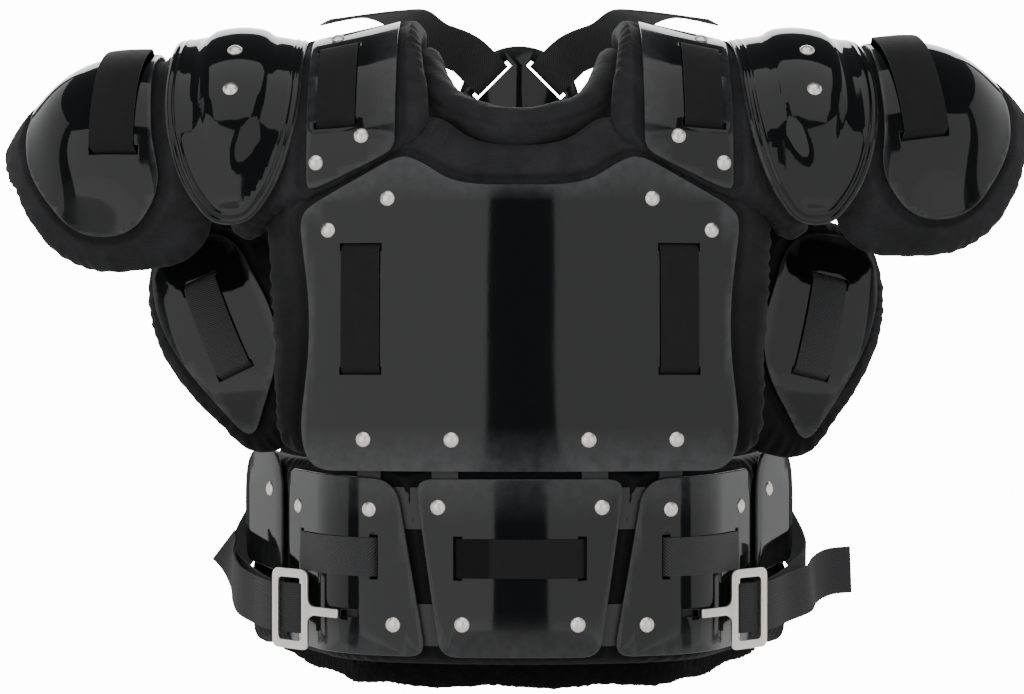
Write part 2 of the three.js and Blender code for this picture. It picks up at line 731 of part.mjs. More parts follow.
function addArm(group, side) {
  const { low, high } = ARM_LOOP;
  const { tilt, up } = ARM_SIDES[side];
  const arm = new THREE.Group();
  arm.position.set(ARM.x, 0, ARM.z + up);
  arm.rotation.y = tilt * DEGREE;
  const middle = new THREE.Vector3(ARM.x, 0, ARM.z);
  const length = Math.hypot(high[0] - low[0], high[1] - low[1]);
  const slotTurn = Math.atan2(high[1] - low[1], high[0] - low[0]) - Math.PI / 2;
  arm.add(mesh(`arm_plate_${side}`, plate({
    contour: armOutline(ARM_PLATE, 3),
    slots: [low, high].map(([u, v]) => slotHole(u, v, SLOT.length + 1, SLOT.width + 0.8, slotTurn)),
    place: armPlatePlace,
    uLines: ARM_LINES.u,
    vLines: ARM_LINES.v,
  }), FINISH.plastic));
  const loop = webbingLoop(armPlatePlace, low, high, evenLines(0, length, 11), 2, ARM_LOOP.rise);
  arm.add(mesh(`arm_loop_${side}`, loop, FINISH.webbing));
  arm.add(mesh(`arm_pad_${side}`, slab({
    contour: armOutline(ARM_PAD, 2),
    layers: padLayers(ARM.padThickness),
    place: armPlace,
    uLines: ARM_PAD_LINES.u,
    vLines: ARM_PAD_LINES.v,
  }), FINISH.pad));
  for (const piece of arm.children) {
    piece.position.sub(middle);
  }
  group.add(arm);
}

// Rib: a small free plate on its own pad, beside the chest.
const RIB_PLATE = [[8, -80, 16], [40, 18, 46], [28, 75, 24], [-38, 70, 28], [-50, -22, 38]];
const RIB_PAD = [
  [13, -82, 14], [43, -8, 40], [42, 42, 30], [24, 78, 24], [-50, 74, 24], [-64, -10, 30], [-36, -82, 20],
];
const RIB_LOOP = { u: -4.5, low: -29, high: 40 };

function addRib(group, side) {
  const { u, low, high } = RIB_LOOP;
  const rib = new THREE.Group();
  rib.position.set(RIB.x, RIB.y, RIB.z);
  rib.rotation.set(0, RIB_SIDES[side].tilt * DEGREE, RIB.turn * DEGREE, 'ZYX');
  rib.add(mesh(`rib_plate_${side}`, plate({
    contour: outline(RIB_PLATE),
    slots: [low, high].map((v) => slotHole(u, v, SLOT.length, SLOT.width)),
    place: ribPlace,
    uLines: RIB_LINES.u,
    vLines: RIB_LINES.v,
  }), FINISH.plastic));
  const loop = webbingLoop(ribPlace, [u, low], [u, high], RIB_LINES.v.map((v) => v - low), 2);
  rib.add(mesh(`rib_loop_${side}`, loop, FINISH.webbing));
  rib.add(mesh(`rib_pad_${side}`, slab({
    contour: outline(RIB_PAD, 2),
    layers: padLayers(RIB.padThickness),
    place: ribPlace,
    uLines: RIB_LINES.u,
    vLines: RIB_LINES.v,
  }), FINISH.pad));
  group.add(rib);
  group.add(mesh(`rib_tab_${side}`, ribTab(rib), FINISH.webbing));
  group.add(mesh(`arm_tab_${side}`, armTab(), FINISH.webbing));
}

// Hidden tabs of webbing that tie the arm cups to the yokes and the rib guards to the chest pad.
const ARM_TAB = { width: 56, rows: [{ x: 172, z: 18.8 }, { x: 197, z: 18.2 }, { x: 222, z: 21 }] };
const RIB_TAB = { width: 30, v: -4, lift: 1.1, under: [-46, -29], chestAt: [148, 160], behind: 3 };
const TAB_THICKNESS = 1.2;

function armTab() {
  const up = new THREE.Vector3(0, 0, 1);
  const rows = ARM_TAB.rows.map(({ x, z }) => ({ at: new THREE.Vector3(x, YOKE.y, z), out: up }));
  return ribbon(rows, ARM_TAB.width, TAB_THICKNESS);
}

function ribTab(rib) {
  const ribRows = RIB_TAB.under.map((u) => {
    return { at: ribPlace(u, RIB_TAB.v, RIB_TAB.lift).applyEuler(rib.rotation).add(rib.position) };
  });
  const back = -CHEST.padThickness - RIB_TAB.behind;
  const chestRows = RIB_TAB.chestAt.map((s) => ({ at: chestPlace(s, ribRows[0].at.z, back) }));
  return ribbon([...chestRows, ...ribRows], RIB_TAB.width, TAB_THICKNESS);
}

// Collar: a padded roll from shoulder to shoulder round the front of the neck.
const COLLAR_ROWS = [
  { x: 64, y: 6, z: 18, radius: 6.5 },
  { x: 65, y: -18, z: 10, radius: 10.5 },
  { x: 62, y: -42, z: -6, radius: 13 },
  { x: 48, y: -74, z: -29, radius: 14.5 },
  { x: 24, y: -91, z: -40, radius: 15 },
  { x: 0, y: -97, z: -44, radius: 15 },
];

function collarRoll() {
  const right = COLLAR_ROWS.slice(0, -1);
  const rows = [...right, COLLAR_ROWS.at(-1), ...right.reverse().map((row) => ({ ...row, x: -row.x }))];
  const path = new THREE.CatmullRomCurve3(rows.map(({ x, y, z }) => new THREE.Vector3(x, y, z)));
  const frames = path.computeFrenetFrames(COLLAR.rings, false);
  const rings = frames.normals.map((normal, i) => {
    const along = (i / COLLAR.rings) * (rows.length - 1);
    const row = Math.min(rows.length - 2, Math.floor(along));
    const radius = THREE.MathUtils.lerp(rows[row].radius, rows[row + 1].radius, along - row);
    const middle = path.getPointAt(i / COLLAR.rings);
    return Array.from({ length: COLLAR.sides }, (_, k) => {
      const turn = (k / COLLAR.sides) * 2 * Math.PI;
      return middle.clone()
        .addScaledVector(normal, radius * Math.cos(turn))
        .addScaledVector(frames.binormals[i], radius * Math.sin(turn));
    });
  });
  return loft(rings);
}

// Harness: a slotted disc between the shoulder blades, two straps to the shoulders and two to the waist.

function backDisc() {
  const shape = new THREE.Shape();
  shape.absarc(0, 0, DISC.radius, 0, 2 * Math.PI);
  for (const quarter of [45, 135, 225, 315]) {
    const turn = quarter * DEGREE;
    const u = DISC.slotFrom * Math.cos(turn);
    const v = DISC.slotFrom * Math.sin(turn);
    shape.holes.push(new THREE.Path(slotHole(u, v, DISC.slotLength, DISC.slotWidth, turn + Math.PI / 2)));
  }
  const settings = { depth: DISC.thickness, bevelEnabled: false, curveSegments: 18 };
  const disc = new THREE.ExtrudeGeometry(shape, settings);
  return disc.rotateX(Math.PI / 2).translate(0, DISC.y + DISC.thickness / 2, DISC.z);
}

// Rows of a strap that is folded through one slot of the disc, from its sewn end behind to its front layer.
function discFold(upwards) {
  const layer = DISC.thickness / 2 + 1.3;
  const rows = [
    { reach: DISC.radius + 8, depth: layer },
    { reach: DISC.slotFrom + 4, depth: layer },
    { reach: DISC.slotFrom + 0.4, depth: layer * 0.7 },
    { reach: DISC.slotFrom - 0.6, depth: 0 },
    { reach: DISC.slotFrom + 0.4, depth: -layer * 0.7 },
    { reach: DISC.slotFrom + 4, depth: -layer },
    { reach: DISC.radius + 8, depth: -layer },
  ];
  const slope = Math.SQRT1_2;
  const across = new THREE.Vector3(-upwards * slope, 0, slope);
  const places = rows.map(({ reach, depth }) => {
    return new THREE.Vector3(reach * slope, DISC.y + depth, DISC.z + upwards * reach * slope);
  });
  return places.map((at, i) => {
    const before = places[Math.max(0, i - 1)];
    const after = places[Math.min(places.length - 1, i + 1)];
    return { at, out: after.clone().sub(before).cross(across) };
  });
}

const SHOULDER_STRAP_ROWS = [
  { x: 64, y: 92, z: 40, out: [0.3, 0.8, 0.5] },
  { x: 82, y: 62, z: 52, out: [0.2, 0.4, 0.9] },
  { x: 100, y: 32, z: 52, out: [0, 0.1, 1] },
  { x: 122, y: 14, z: 47, out: [0, 0, 1] },
  { x: 140, y: 8, z: 43, out: [0, 0, 1] },
];
const WAIST_STRAP_ROWS = [
  { x: 76, y: 118, z: -112 },
  { x: 132, y: 114, z: -212 },
  { x: 182, y: 96, z: -304 },
  { x: 204, y: 68, z: -338 },
  { x: 210, y: 42, z: -352 },
  { x: 199, y: 12, z: -362 },
];
const WAIST_TAIL_ROWS = {
  right: [
    { x: 190, y: -26, z: -368 }, { x: 207, y: -6, z: -364 }, { x: 214, y: 14, z: -359 },
    { x: 226, y: 30, z: -355 }, { x: 243, y: 40, z: -354 },
  ],
  left: [
    { x: 188, y: -26, z: -369 }, { x: 203, y: -4, z: -364 }, { x: 211, y: 18, z: -358 },
    { x: 217, y: 38, z: -347 }, { x: 221, y: 52, z: -337 },
  ],
};

function rowsAt(table) {
  return table.map(({ x, y, z, out }) => ({
    at: new THREE.Vector3(x, y, z),
    out: out && new THREE.Vector3(...out),
  }));
}

function hookPoint(along, inward, z = HOOK.z) {
  const turn = HOOK.turn * DEGREE;
  const slot = bellyPlace(HOOK.slotAt, z, HOOK.lift);
  return slot.add(new THREE.Vector3(
    along * Math.cos(turn) - inward * Math.sin(turn), along * Math.sin(turn) + inward * Math.cos(turn), 0));
}

// The strap folds round the keeper bar behind the ring's window.
function hookFold() {
  const { keeperAt, keeperBack } = HOOK;
  const bend = 2.5;
  const inner = [[keeperAt + 30, keeperBack + bend]];
  const turn = [90, 135, 180, 225, 270].map((angle) => [
    keeperAt + bend * Math.cos(angle * DEGREE), keeperBack + bend * Math.sin(angle * DEGREE)]);
  const outer = [[keeperAt + 30, keeperBack - bend]];
  return [...inner, ...turn, ...outer].map(([along, inward]) => ({ at: hookPoint(along, inward) }));
}

function tHook() {
  const { tang, tangWidth, ringWidth, ringHeight, bar, thickness } = HOOK;
  const end = tang + ringWidth;
  const top = ringHeight / 2;
  const shape = new THREE.Shape(outline([
    [end, -top, 6], [end, top, 6], [tang, top, 6],
    [tang, tangWidth, 4], [tang - 5, tangWidth / 2, 3], [0, tangWidth / 2, 0], [0, -tangWidth / 2, 0],
    [tang - 5, -tangWidth / 2, 3], [tang, -tangWidth, 4], [tang, -top, 6],
  ], 2));
  const window = outline([
    [end - bar, bar - top, 4], [end - bar, top - bar, 4],
    [tang + bar, top - bar, 4], [tang + bar, bar - top, 4],
  ], 2);
  shape.holes.push(new THREE.Path(window));
  const ring = new THREE.ExtrudeGeometry(shape, { depth: thickness, bevelEnabled: false });
  ring.rotateX(Math.PI / 2);
  const keeperLength = ringHeight - bar;
  const keeper = new THREE.CylinderGeometry(HOOK.keeperRadius, HOOK.keeperRadius, keeperLength, 8);
  keeper.rotateX(Math.PI / 2).translate(HOOK.keeperAt, HOOK.keeperBack, 0);
  const postDepth = HOOK.keeperBack + HOOK.keeperRadius + thickness / 2;
  const posts = [1, -1].map((way) => {
    const post = new THREE.BoxGeometry(4, postDepth, 4);
    return post.translate(HOOK.keeperAt, postDepth / 2 - thickness / 2, way * keeperLength / 2);
  });
  return joined(ring, keeper, ...posts);
}

function addHarnessSide(group, side) {
  const shoulder = [...discFold(1), ...rowsAt(SHOULDER_STRAP_ROWS)];
  group.add(mesh(`shoulder_strap_${side}`,
    ribbon(shoulder, STRAP.shoulderWidth, STRAP.thickness), FINISH.webbing));
  const waist = [
    ...discFold(-1), ...rowsAt(WAIST_STRAP_ROWS), ...hookFold(), ...rowsAt(WAIST_TAIL_ROWS[side])];
  group.add(mesh(`waist_strap_${side}`, ribbon(waist, STRAP.waistWidth, STRAP.thickness), FINISH.webbing));
  const hook = mesh(`t_hook_${side}`, tHook(), FINISH.nickel);
  hook.position.copy(hookPoint(0, 0));
  hook.rotation.z = HOOK.turn * DEGREE;
  group.add(hook);
}

const protector = new THREE.Group();
addChest(protector);
addBelly(protector);
protector.add(mesh('collar_roll', collarRoll(), FINISH.pad));
protector.add(mesh('back_disc', backDisc(), FINISH.plastic));
for (const [side, sign] of [['right', 1], ['left', -1]]) {
  const half = new THREE.Group();
  half.scale.x = sign;
  addBellySide(half, side);
  addShoulder(half, side);
  addArm(half, side);
  addRib(half, side);
  addHarnessSide(half, side);
  protector.add(half);
}

export default protector;
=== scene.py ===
# %% [markdown]
# # An umpire's chest protector
# Moulded black plates are riveted and looped onto padded panels, and a strap harness holds the whole at the
# back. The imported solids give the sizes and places. A few soft edges and the boss of each cap are tuned to
# the photograph. This lesson dresses the solids: each plate is a flat cut-out that is bent over its panel,
# each pad is a flat bag that cloth pressure fills before it is bent, and each strap is a flat band laid
# along a path. Everything is in metres, +X to the right of the front view, +Y to the back and +Z up. Left
# and right are those of the front view.

# %% Load the frame
import math

import bpy
import numpy as np
from mathutils import Matrix, Vector, noise


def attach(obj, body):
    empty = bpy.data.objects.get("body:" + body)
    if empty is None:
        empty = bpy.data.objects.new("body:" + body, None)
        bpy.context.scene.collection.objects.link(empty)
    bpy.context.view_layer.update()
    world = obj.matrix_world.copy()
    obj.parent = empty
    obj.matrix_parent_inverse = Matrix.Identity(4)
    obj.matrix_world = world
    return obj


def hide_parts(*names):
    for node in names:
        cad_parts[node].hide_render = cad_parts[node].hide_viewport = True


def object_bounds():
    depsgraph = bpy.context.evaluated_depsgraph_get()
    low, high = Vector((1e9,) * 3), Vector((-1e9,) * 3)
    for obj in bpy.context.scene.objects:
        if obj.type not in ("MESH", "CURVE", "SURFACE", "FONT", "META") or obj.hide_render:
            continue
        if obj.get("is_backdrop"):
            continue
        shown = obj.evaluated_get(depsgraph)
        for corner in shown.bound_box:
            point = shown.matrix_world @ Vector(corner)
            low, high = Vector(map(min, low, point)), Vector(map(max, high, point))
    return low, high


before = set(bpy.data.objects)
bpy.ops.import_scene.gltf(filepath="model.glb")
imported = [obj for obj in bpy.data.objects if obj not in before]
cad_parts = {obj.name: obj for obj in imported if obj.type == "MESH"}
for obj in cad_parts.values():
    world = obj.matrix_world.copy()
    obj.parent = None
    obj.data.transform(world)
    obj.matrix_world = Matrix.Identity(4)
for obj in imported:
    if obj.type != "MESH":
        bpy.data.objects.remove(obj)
cad_box = [list(corner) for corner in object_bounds()]
SIDES = {"right": 1, "left": -1}
print("frame:", len(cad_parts), "nodes, box", [[round(v, 3) for v in corner] for corner in cad_box])

# %% [markdown]
# ## Camera
# The photograph looks straight at the chest from a level camera, so the edges of the plates stay upright. A
# long lens at under two metres gives that gentle perspective: the arms, further back, come out a little
# smaller.

# %% Camera
LENS_MM = 89.6
SENSOR_MM = 36
CAMERA_AT = (-0.0053, -1.83, -0.191)


def add_camera():
    bpy.ops.object.select_all(action="DESELECT")
    bpy.ops.object.camera_add(location=CAMERA_AT, rotation=(math.pi / 2, 0, 0))
    camera = bpy.context.object
    camera.name = "front_camera"
    camera.data.lens = LENS_MM
    camera.data.sensor_width = SENSOR_MM
    bpy.context.scene.camera = camera
    return camera


print("camera:", add_camera().name, "lens", LENS_MM)

# %% [markdown]
# ## Studio
# Black gloss has hardly any colour of its own: what the eye reads is the reflection of the room. Two tall
# softboxes stand left and right of the camera with a dark gap between them, and that gap is the dark stripe
# down the middle of the chest plate. A third hangs above, two more at the sides light the edges that turn
# away, and a last one lights the back. The floor is a wide pale disc, and the white behind the part is a
# second background that only the camera sees, so that it doesn't wash out the black.

# %% Lights
SOFTBOXES = {
    "softbox_left": {"at": (-1.25, -1.75, -0.02), "size": (2.4, 2.4), "power": 24},
    "softbox_right": {"at": (1.28, -1.75, -0.02), "size": (2.4, 2.4), "power": 19},
    "softbox_top": {"at": (0.0, -0.8, 1.6), "size": (2.4, 2.0), "power": 18},
    "softbox_back": {"at": (0.0, 2.1, 0.95), "size": (2.6, 1.4), "power": 40},
    "rim_left": {"at": (-1.6, 0.45, 0.1), "size": (2.0, 2.0), "power": 10},
    "rim_right": {"at": (1.6, 0.45, 0.1), "size": (2.0, 2.0), "power": 10},
}
LOOK_AT = Vector((0, -0.05, -0.19))


def add_softbox(name, at, size, power):
    bpy.ops.object.light_add(type="AREA", location=at)
    light = bpy.context.object
    light.name = name
    light.rotation_euler = (LOOK_AT - Vector(at)).to_track_quat("-Z", "Y").to_euler()
    light.data.shape = "RECTANGLE"
    light.data.size, light.data.size_y = size
    light.data.energy = power
    return light


for name, box in SOFTBOXES.items():
    add_softbox(name, **box)
print("lights:", ", ".join(SOFTBOXES))

# %% Floor and room
FLOOR = {"radius": 3.2, "level": -0.9}
ROOM = {"colour": (0.93, 0.96, 1.0, 1), "strength": 0.1}
BACKDROP_STRENGTH = 14.0


def add_floor():
    bpy.ops.object.select_all(action="DESELECT")
    bpy.ops.mesh.primitive_circle_add(vertices=96, radius=FLOOR["radius"], fill_type="NGON",
                                      location=(0, 0, FLOOR["level"]))
    floor = bpy.context.object
    floor.name = "pale_floor"
    bpy.ops.object.transform_apply(location=True, rotation=True, scale=True)
    floor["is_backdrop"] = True
    return floor


def add_room():
    """A dim room for the reflections, and a white backdrop for the camera."""
    world = bpy.data.worlds.new("studio_room")
    world.use_nodes = True
    nodes, links = world.node_tree.nodes, world.node_tree.links
    room = nodes["Background"]
    room.inputs["Color"].default_value = ROOM["colour"]
    room.inputs["Strength"].default_value = ROOM["strength"]
    backdrop = nodes.new("ShaderNodeBackground")
    backdrop.inputs["Color"].default_value = (1, 1, 1, 1)
    backdrop.inputs["Strength"].default_value = BACKDROP_STRENGTH
    mix = nodes.new("ShaderNodeMixShader")
    links.new(nodes.new("ShaderNodeLightPath").outputs["Is Camera Ray"], mix.inputs[0])
    links.new(room.outputs[0], mix.inputs[1])
    links.new(backdrop.outputs[0], mix.inputs[2])
    links.new(mix.outputs[0], nodes["World Output"].inputs["Surface"])
    bpy.context.scene.world = world


floor = add_floor()
add_room()
print("floor at", FLOOR["level"], "m, room strength", ROOM["strength"])

# %% [markdown]
# ## Writing finishes as formulas
# A finish is a small graph of nodes. Wiring each by hand hides the idea, so one class wraps a socket and
# lets plus, minus and times add the Math nodes, and one method adds any other node with its settings and
# inputs.

# %% Shader formulas


class Value:
    """A number that changes over a surface: the output of a node."""

    def __init__(self, finish, socket):
        self.finish = finish
        self.socket = socket

    def _math(self, operation, first, second):
        return self.finish.node("ShaderNodeMath", {"operation": operation}, {0: first, 1: second})

    def __add__(self, other):
        return self._math("ADD", self, other)

    def __radd__(self, other):
        return self._math("ADD", other, self)

    def __sub__(self, other):
        return self._math("SUBTRACT", self, other)

    def __rsub__(self, other):
        return self._math("SUBTRACT", other, self)

    def __mul__(self, other):
        return self._math("MULTIPLY", self, other)


class Finish:
    """A material with one Principled shader, wired by formulas."""

    def __init__(self, name, **constants):
        self.material = bpy.data.materials.new(name)
        self.material.use_nodes = True
        self.tree = self.material.node_tree
        self.shader = self.tree.nodes["Principled BSDF"]
        for key, value in constants.items():
            self.shader.inputs[self._title(key)].default_value = value

    def _title(self, key):
        return key.replace("_", " ").title().replace("Ior", "IOR")

    def node(self, kind, settings=None, inputs=None, output=0):
        made = self.tree.nodes.new(kind)
        for key, value in (settings or {}).items():
            setattr(made, key, value)
        for key, value in (inputs or {}).items():
            self._feed(made.inputs[key], value)
        return Value(self, made.outputs[output])

    def _feed(self, socket, value):
        if isinstance(value, Value):
            self.tree.links.new(value.socket, socket)
        else:
            socket.default_value = value

    def feed(self, **inputs):
        for key, value in inputs.items():
            self._feed(self.shader.inputs[self._title(key)], value)

    def place(self, output="Object"):
        return self.node("ShaderNodeTexCoord", output=output)

    def noise(self, where, scale, detail=3.0, roughness=0.5):
        inputs = {"Vector": where, "Scale": scale, "Detail": detail, "Roughness": roughness}
        return self.node("ShaderNodeTexNoise", {}, inputs)

    def waves(self, where, scale, direction="X", distortion=0.0):
        settings = {"wave_type": "BANDS", "bands_direction": direction, "wave_profile": "SIN"}
        inputs = {"Vector": where, "Scale": scale, "Distortion": distortion}
        return self.node("ShaderNodeTexWave", settings, inputs, output="Fac")

    def mix(self, factor, dark, light):
        settings = {"data_type": "RGBA"}
        return self.node("ShaderNodeMix", settings, {0: factor, 6: dark, 7: light}, output=2)

    def bump(self, height, strength, distance):
        inputs = {"Height": height, "Strength": strength, "Distance": distance}
        self.feed(normal=self.node("ShaderNodeBump", {}, inputs))


print("formulas ready")

# %% [markdown]
# ## Finishes
# The plates are black gloss plastic: nearly mirror smooth, with a slow waviness that bends reflections and
# a lighter, scuffed line along each rim. The rim line is an attribute that each plate stores while it is
# still flat.

# %% Gloss plate
BLACK = (0.0042, 0.0044, 0.0048, 1)


def gloss_plate():
    finish = Finish("gloss_plate", specular_ior_level=0.36, coat_weight=0.1, coat_roughness=0.03)
    where = finish.place()
    scuffed = finish.node("ShaderNodeAttribute", {"attribute_name": "rim"}, output="Fac")
    patches = finish.noise(where, 140, 4)
    smears = finish.noise(where, 16, 5, 0.6)
    finish.feed(
        base_color=finish.mix(scuffed * patches, BLACK, (0.075, 0.076, 0.08, 1)),
        roughness=0.035 + smears * 0.05 + scuffed * 0.12,
    )
    waviness = finish.noise(where, 9, 1)
    peel = finish.noise(where, 420, 2)
    finish.bump(waviness + peel * 0.012, 0.35, 0.002)
    return finish.material


PLATE_FINISH = gloss_plate()
print(PLATE_FINISH.name)

# %% [markdown]
# The pads are tightly woven black nylon over foam. Its threads are finer than a millimetre, so two crossed
# waves make the weave, and a slower noise makes the creases that the light catches. A little sheen greys
# the grazing edges. Low on the part the photograph shows the cloth darker. The real cloth is probably one
# colour and the difference one of light. Here the pale threads are held back by height on the object to
# match.

# %% Nylon and fleece
THREAD = 0.314
NYLON_PITCH = 0.0011
# Painted shade: from the upper height down to the lower one the cloth darkens, to the least share of its pale
# threads at the bottom.
PAINTED_SHADE = {"from": -0.25, "to": -0.08, "least": 0.1}


def pitch(metres):
    """The scale of a wave texture whose bands repeat at this distance."""
    return THREAD / metres


def nylon():
    finish = Finish("pad_nylon", sheen_weight=0.04, sheen_roughness=0.4, specular_ior_level=0.15)
    where = finish.place()
    warp = finish.waves(where, pitch(NYLON_PITCH), "X")
    weft = finish.waves(where, pitch(NYLON_PITCH), "Z")
    depth = finish.waves(where, pitch(NYLON_PITCH), "Y")
    threads = (warp + weft + depth) * 0.33
    creases = finish.noise(where, 55, 4, 0.55)
    # Painted shade: the pale threads fade out with height, darkening the cloth towards the bottom of the
    # part.
    height = finish.node("ShaderNodeSeparateXYZ", {}, {0: where}, output=2)
    rise = {0: height, 1: PAINTED_SHADE["from"], 2: PAINTED_SHADE["to"], 3: PAINTED_SHADE["least"]}
    painted_shade = finish.node("ShaderNodeMapRange", {}, rise)
    cloth_tone = (creases * 0.7 + threads * 0.3) * painted_shade
    finish.feed(
        base_color=finish.mix(cloth_tone, (0.0012, 0.0012, 0.0014, 1), (0.042, 0.042, 0.045, 1)),
        roughness=0.6 + threads * 0.2,
    )
    finish.bump(creases + threads * 0.12, 0.55, 0.0022)
    return finish.material


def fleece():
    finish = Finish("lining_fleece", sheen_weight=0.03, sheen_roughness=0.6, specular_ior_level=0.1,
                    roughness=0.95)
    where = finish.place()
    tufts = finish.noise(where, 420, 5, 0.7)
    curls = finish.noise(where, 120, 3)
    dark, light = (0.0006, 0.0006, 0.0007, 1), (0.003, 0.003, 0.0033, 1)
    finish.feed(base_color=finish.mix(tufts * curls * 2.2, dark, light))
    finish.bump(tufts + curls, 0.9, 0.0016)
    return finish.material


NYLON = nylon()
FLEECE = fleece()
print(NYLON.name, FLEECE.name)

# %% [markdown]
# Four kinds of band hold it together. Their weave must run along the band wherever it bends, so these
# finishes read the band's own UV map, which is kept in metres: across the band, then along it. The fine
# band has one end of pile.

# %% Webbing, velvet and elastic
SEWN_END = 0.036


def across_and_along(finish, uv):
    split = finish.node("ShaderNodeSeparateXYZ", {}, {0: uv})
    return split, Value(finish, split.socket.node.outputs[1])


def twill_webbing():
    finish = Finish("twill_webbing", sheen_weight=0.12, sheen_roughness=0.35)
    uv = finish.place("UV")
    across, along = across_and_along(finish, uv)
    diagonals = finish.node("ShaderNodeCombineXYZ", {}, {0: across + along, 1: across - along})
    twill = finish.waves(diagonals, pitch(0.0021), "X")
    threads = finish.waves(diagonals, pitch(0.0012), "Y")
    cloth_tone = finish.noise(uv, 160, 3)
    weave = twill * 0.75 + threads * 0.25
    finish.feed(
        base_color=finish.mix(weave * 0.7 + cloth_tone * 0.3, (0.004, 0.004, 0.0045, 1), (0.03, 0.03, 0.033, 1)),
        roughness=0.68 - weave * 0.22,
    )
    finish.bump(weave, 0.7, 0.0007)
    return finish.material


def velvet():
    finish = Finish("velvet_band", sheen_weight=0.25, sheen_roughness=0.3, specular_ior_level=0.25,
                    roughness=0.9)
    uv = finish.place("UV")
    pile = finish.noise(uv, 1500, 3, 0.7)
    brushed = finish.noise(uv, 90, 3)
    dark, light = (0.005, 0.005, 0.005, 1), (0.018, 0.018, 0.019, 1)
    finish.feed(base_color=finish.mix(pile * 0.6 + brushed * 0.4, dark, light))
    finish.bump(pile, 0.6, 0.0005)
    return finish.material


def ribbed_elastic():
    finish = Finish("ribbed_elastic", sheen_weight=0.1, sheen_roughness=0.4, specular_ior_level=0.25)
    uv = finish.place("UV")
    ribs = finish.waves(uv, pitch(0.0016), "X", 0.3)
    picks = finish.waves(uv, pitch(0.0013), "Y")
    fuzz = finish.noise(uv, 700, 4, 0.75)
    weave = ribs * 0.2 + picks * 0.15 + fuzz * 0.65
    finish.feed(
        base_color=finish.mix(weave, (0.005, 0.005, 0.0055, 1), (0.055, 0.055, 0.058, 1)),
        roughness=0.8 - ribs * 0.15,
    )
    finish.bump(weave, 0.75, 0.0006)
    return finish.material


def fine_band():
    finish = Finish("fine_band", sheen_weight=0.05, sheen_roughness=0.4, specular_ior_level=0.2)
    uv = finish.place("UV")
    _, along = across_and_along(finish, uv)
    ribs = finish.waves(uv, pitch(0.0011), "X")
    picks = finish.waves(uv, pitch(0.0009), "Y")
    weave = ribs * 0.5 + picks * 0.5
    pile = finish.noise(uv, 1300, 3, 0.7)
    sewn_end = finish.node("ShaderNodeMath", {"operation": "LESS_THAN"}, {0: along, 1: SEWN_END})
    cloth = finish.mix(weave, (0.003, 0.003, 0.0034, 1), (0.02, 0.02, 0.021, 1))
    velour = finish.mix(pile, (0.001, 0.001, 0.001, 1), (0.006, 0.006, 0.006, 1))
    finish.feed(base_color=finish.mix(sewn_end, cloth, velour), roughness=0.75 + weave * 0.15)
    finish.bump(weave, 0.5, 0.0004)
    return finish.material


FINE_BAND = fine_band()
TWILL = twill_webbing()
VELVET = velvet()
ELASTIC = ribbed_elastic()
print(TWILL.name, VELVET.name, ELASTIC.name, FINE_BAND.name)

# %% [markdown]
# The rivets and hooks are plated in warm nickel, with a faint brushed haze, and the strips that tie the
# lower plates together are satin plastic. The floor is plain pale paper with a little mottle.

# %% Nickel, strips and floor


def nickel():
    finish = Finish("warm_nickel", metallic=1.0)
    where = finish.place()
    haze = finish.noise(where, 260, 4)
    spots = finish.noise(where, 70, 3)
    finish.feed(
        base_color=finish.mix(spots, (0.88, 0.84, 0.77, 1), (0.98, 0.96, 0.92, 1)),
        roughness=0.26 + haze * 0.2,
    )
    finish.bump(haze, 0.12, 0.0003)
    return finish.material


def satin_strip():
    finish = Finish("satin_strip", specular_ior_level=0.45)
    where = finish.place()
    grain = finish.noise(where, 600, 3)
    finish.feed(
        base_color=finish.mix(grain, (0.012, 0.012, 0.013, 1), (0.03, 0.03, 0.032, 1)),
        roughness=0.38 + grain * 0.15,
    )
    finish.bump(grain, 0.25, 0.0004)
    return finish.material


def pale_paper():
    finish = Finish("pale_paper", roughness=0.9)
    mottle = finish.noise(finish.place(), 3, 4)
    finish.feed(base_color=finish.mix(mottle, (0.86, 0.86, 0.86, 1), (0.92, 0.92, 0.92, 1)))
    return finish.material


NICKEL = nickel()
STRIP = satin_strip()
floor.data.materials.append(pale_paper())
print(NICKEL.name, STRIP.name)

# %% [markdown]
# ## The shape of each panel
# Every panel is a sheet bent over the body, so a point on it needs only three numbers: how far across the
# flat sheet, how far up it, and how high above the pad's face. One function for each panel turns those into
# a place in space. The same functions then bend plates, pads, loops and rivets, which is why the layers fit
# on each other.

# %% Chest and belly sections
MM = 0.001
CHEST = {"front": -0.130, "arcs": [(0.450, 0.150), (0.046, 0.220)], "lean_from": -0.275, "lean": 0.07}
BELLY = {"front": -0.130, "arcs": [(0.300, 0.090), (0.075, 0.152), (math.inf, 0.400)]}


def plan_point(section, s):
    """Walks the plan section from the middle of the front: a place and the outward direction there."""
    reach = np.abs(s)
    x, y, heading, walked = np.zeros_like(s), np.full_like(s, section["front"]), np.zeros_like(s), 0.0
    for radius, up_to in section["arcs"]:
        length = np.clip(reach, walked, up_to) - walked
        turned = heading + length / radius
        if math.isinf(radius):
            x = x + length * np.cos(heading)
            y = y + length * np.sin(heading)
        else:
            x = x + radius * (np.sin(turned) - np.sin(heading))
            y = y + radius * (np.cos(heading) - np.cos(turned))
        heading, walked = turned, up_to
    side = np.where(s < 0, -1.0, 1.0)
    return side * x, y, side * np.sin(heading), -np.cos(heading)


def chest_place(s, z, lift):
    x, y, out_x, out_y = plan_point(CHEST, s)
    back = (z - CHEST["lean_from"]) * CHEST["lean"]
    return x + out_x * lift, y + out_y * lift + back, z


def belly_place(s, z, lift):
    x, y, out_x, out_y = plan_point(BELLY, s)
    return x + out_x * lift, y + out_y * lift, z


print("chest corner at", [round(float(c[0]), 3) for c in chest_place(*np.array([[0.15], [-0.25], [0.0]]))])

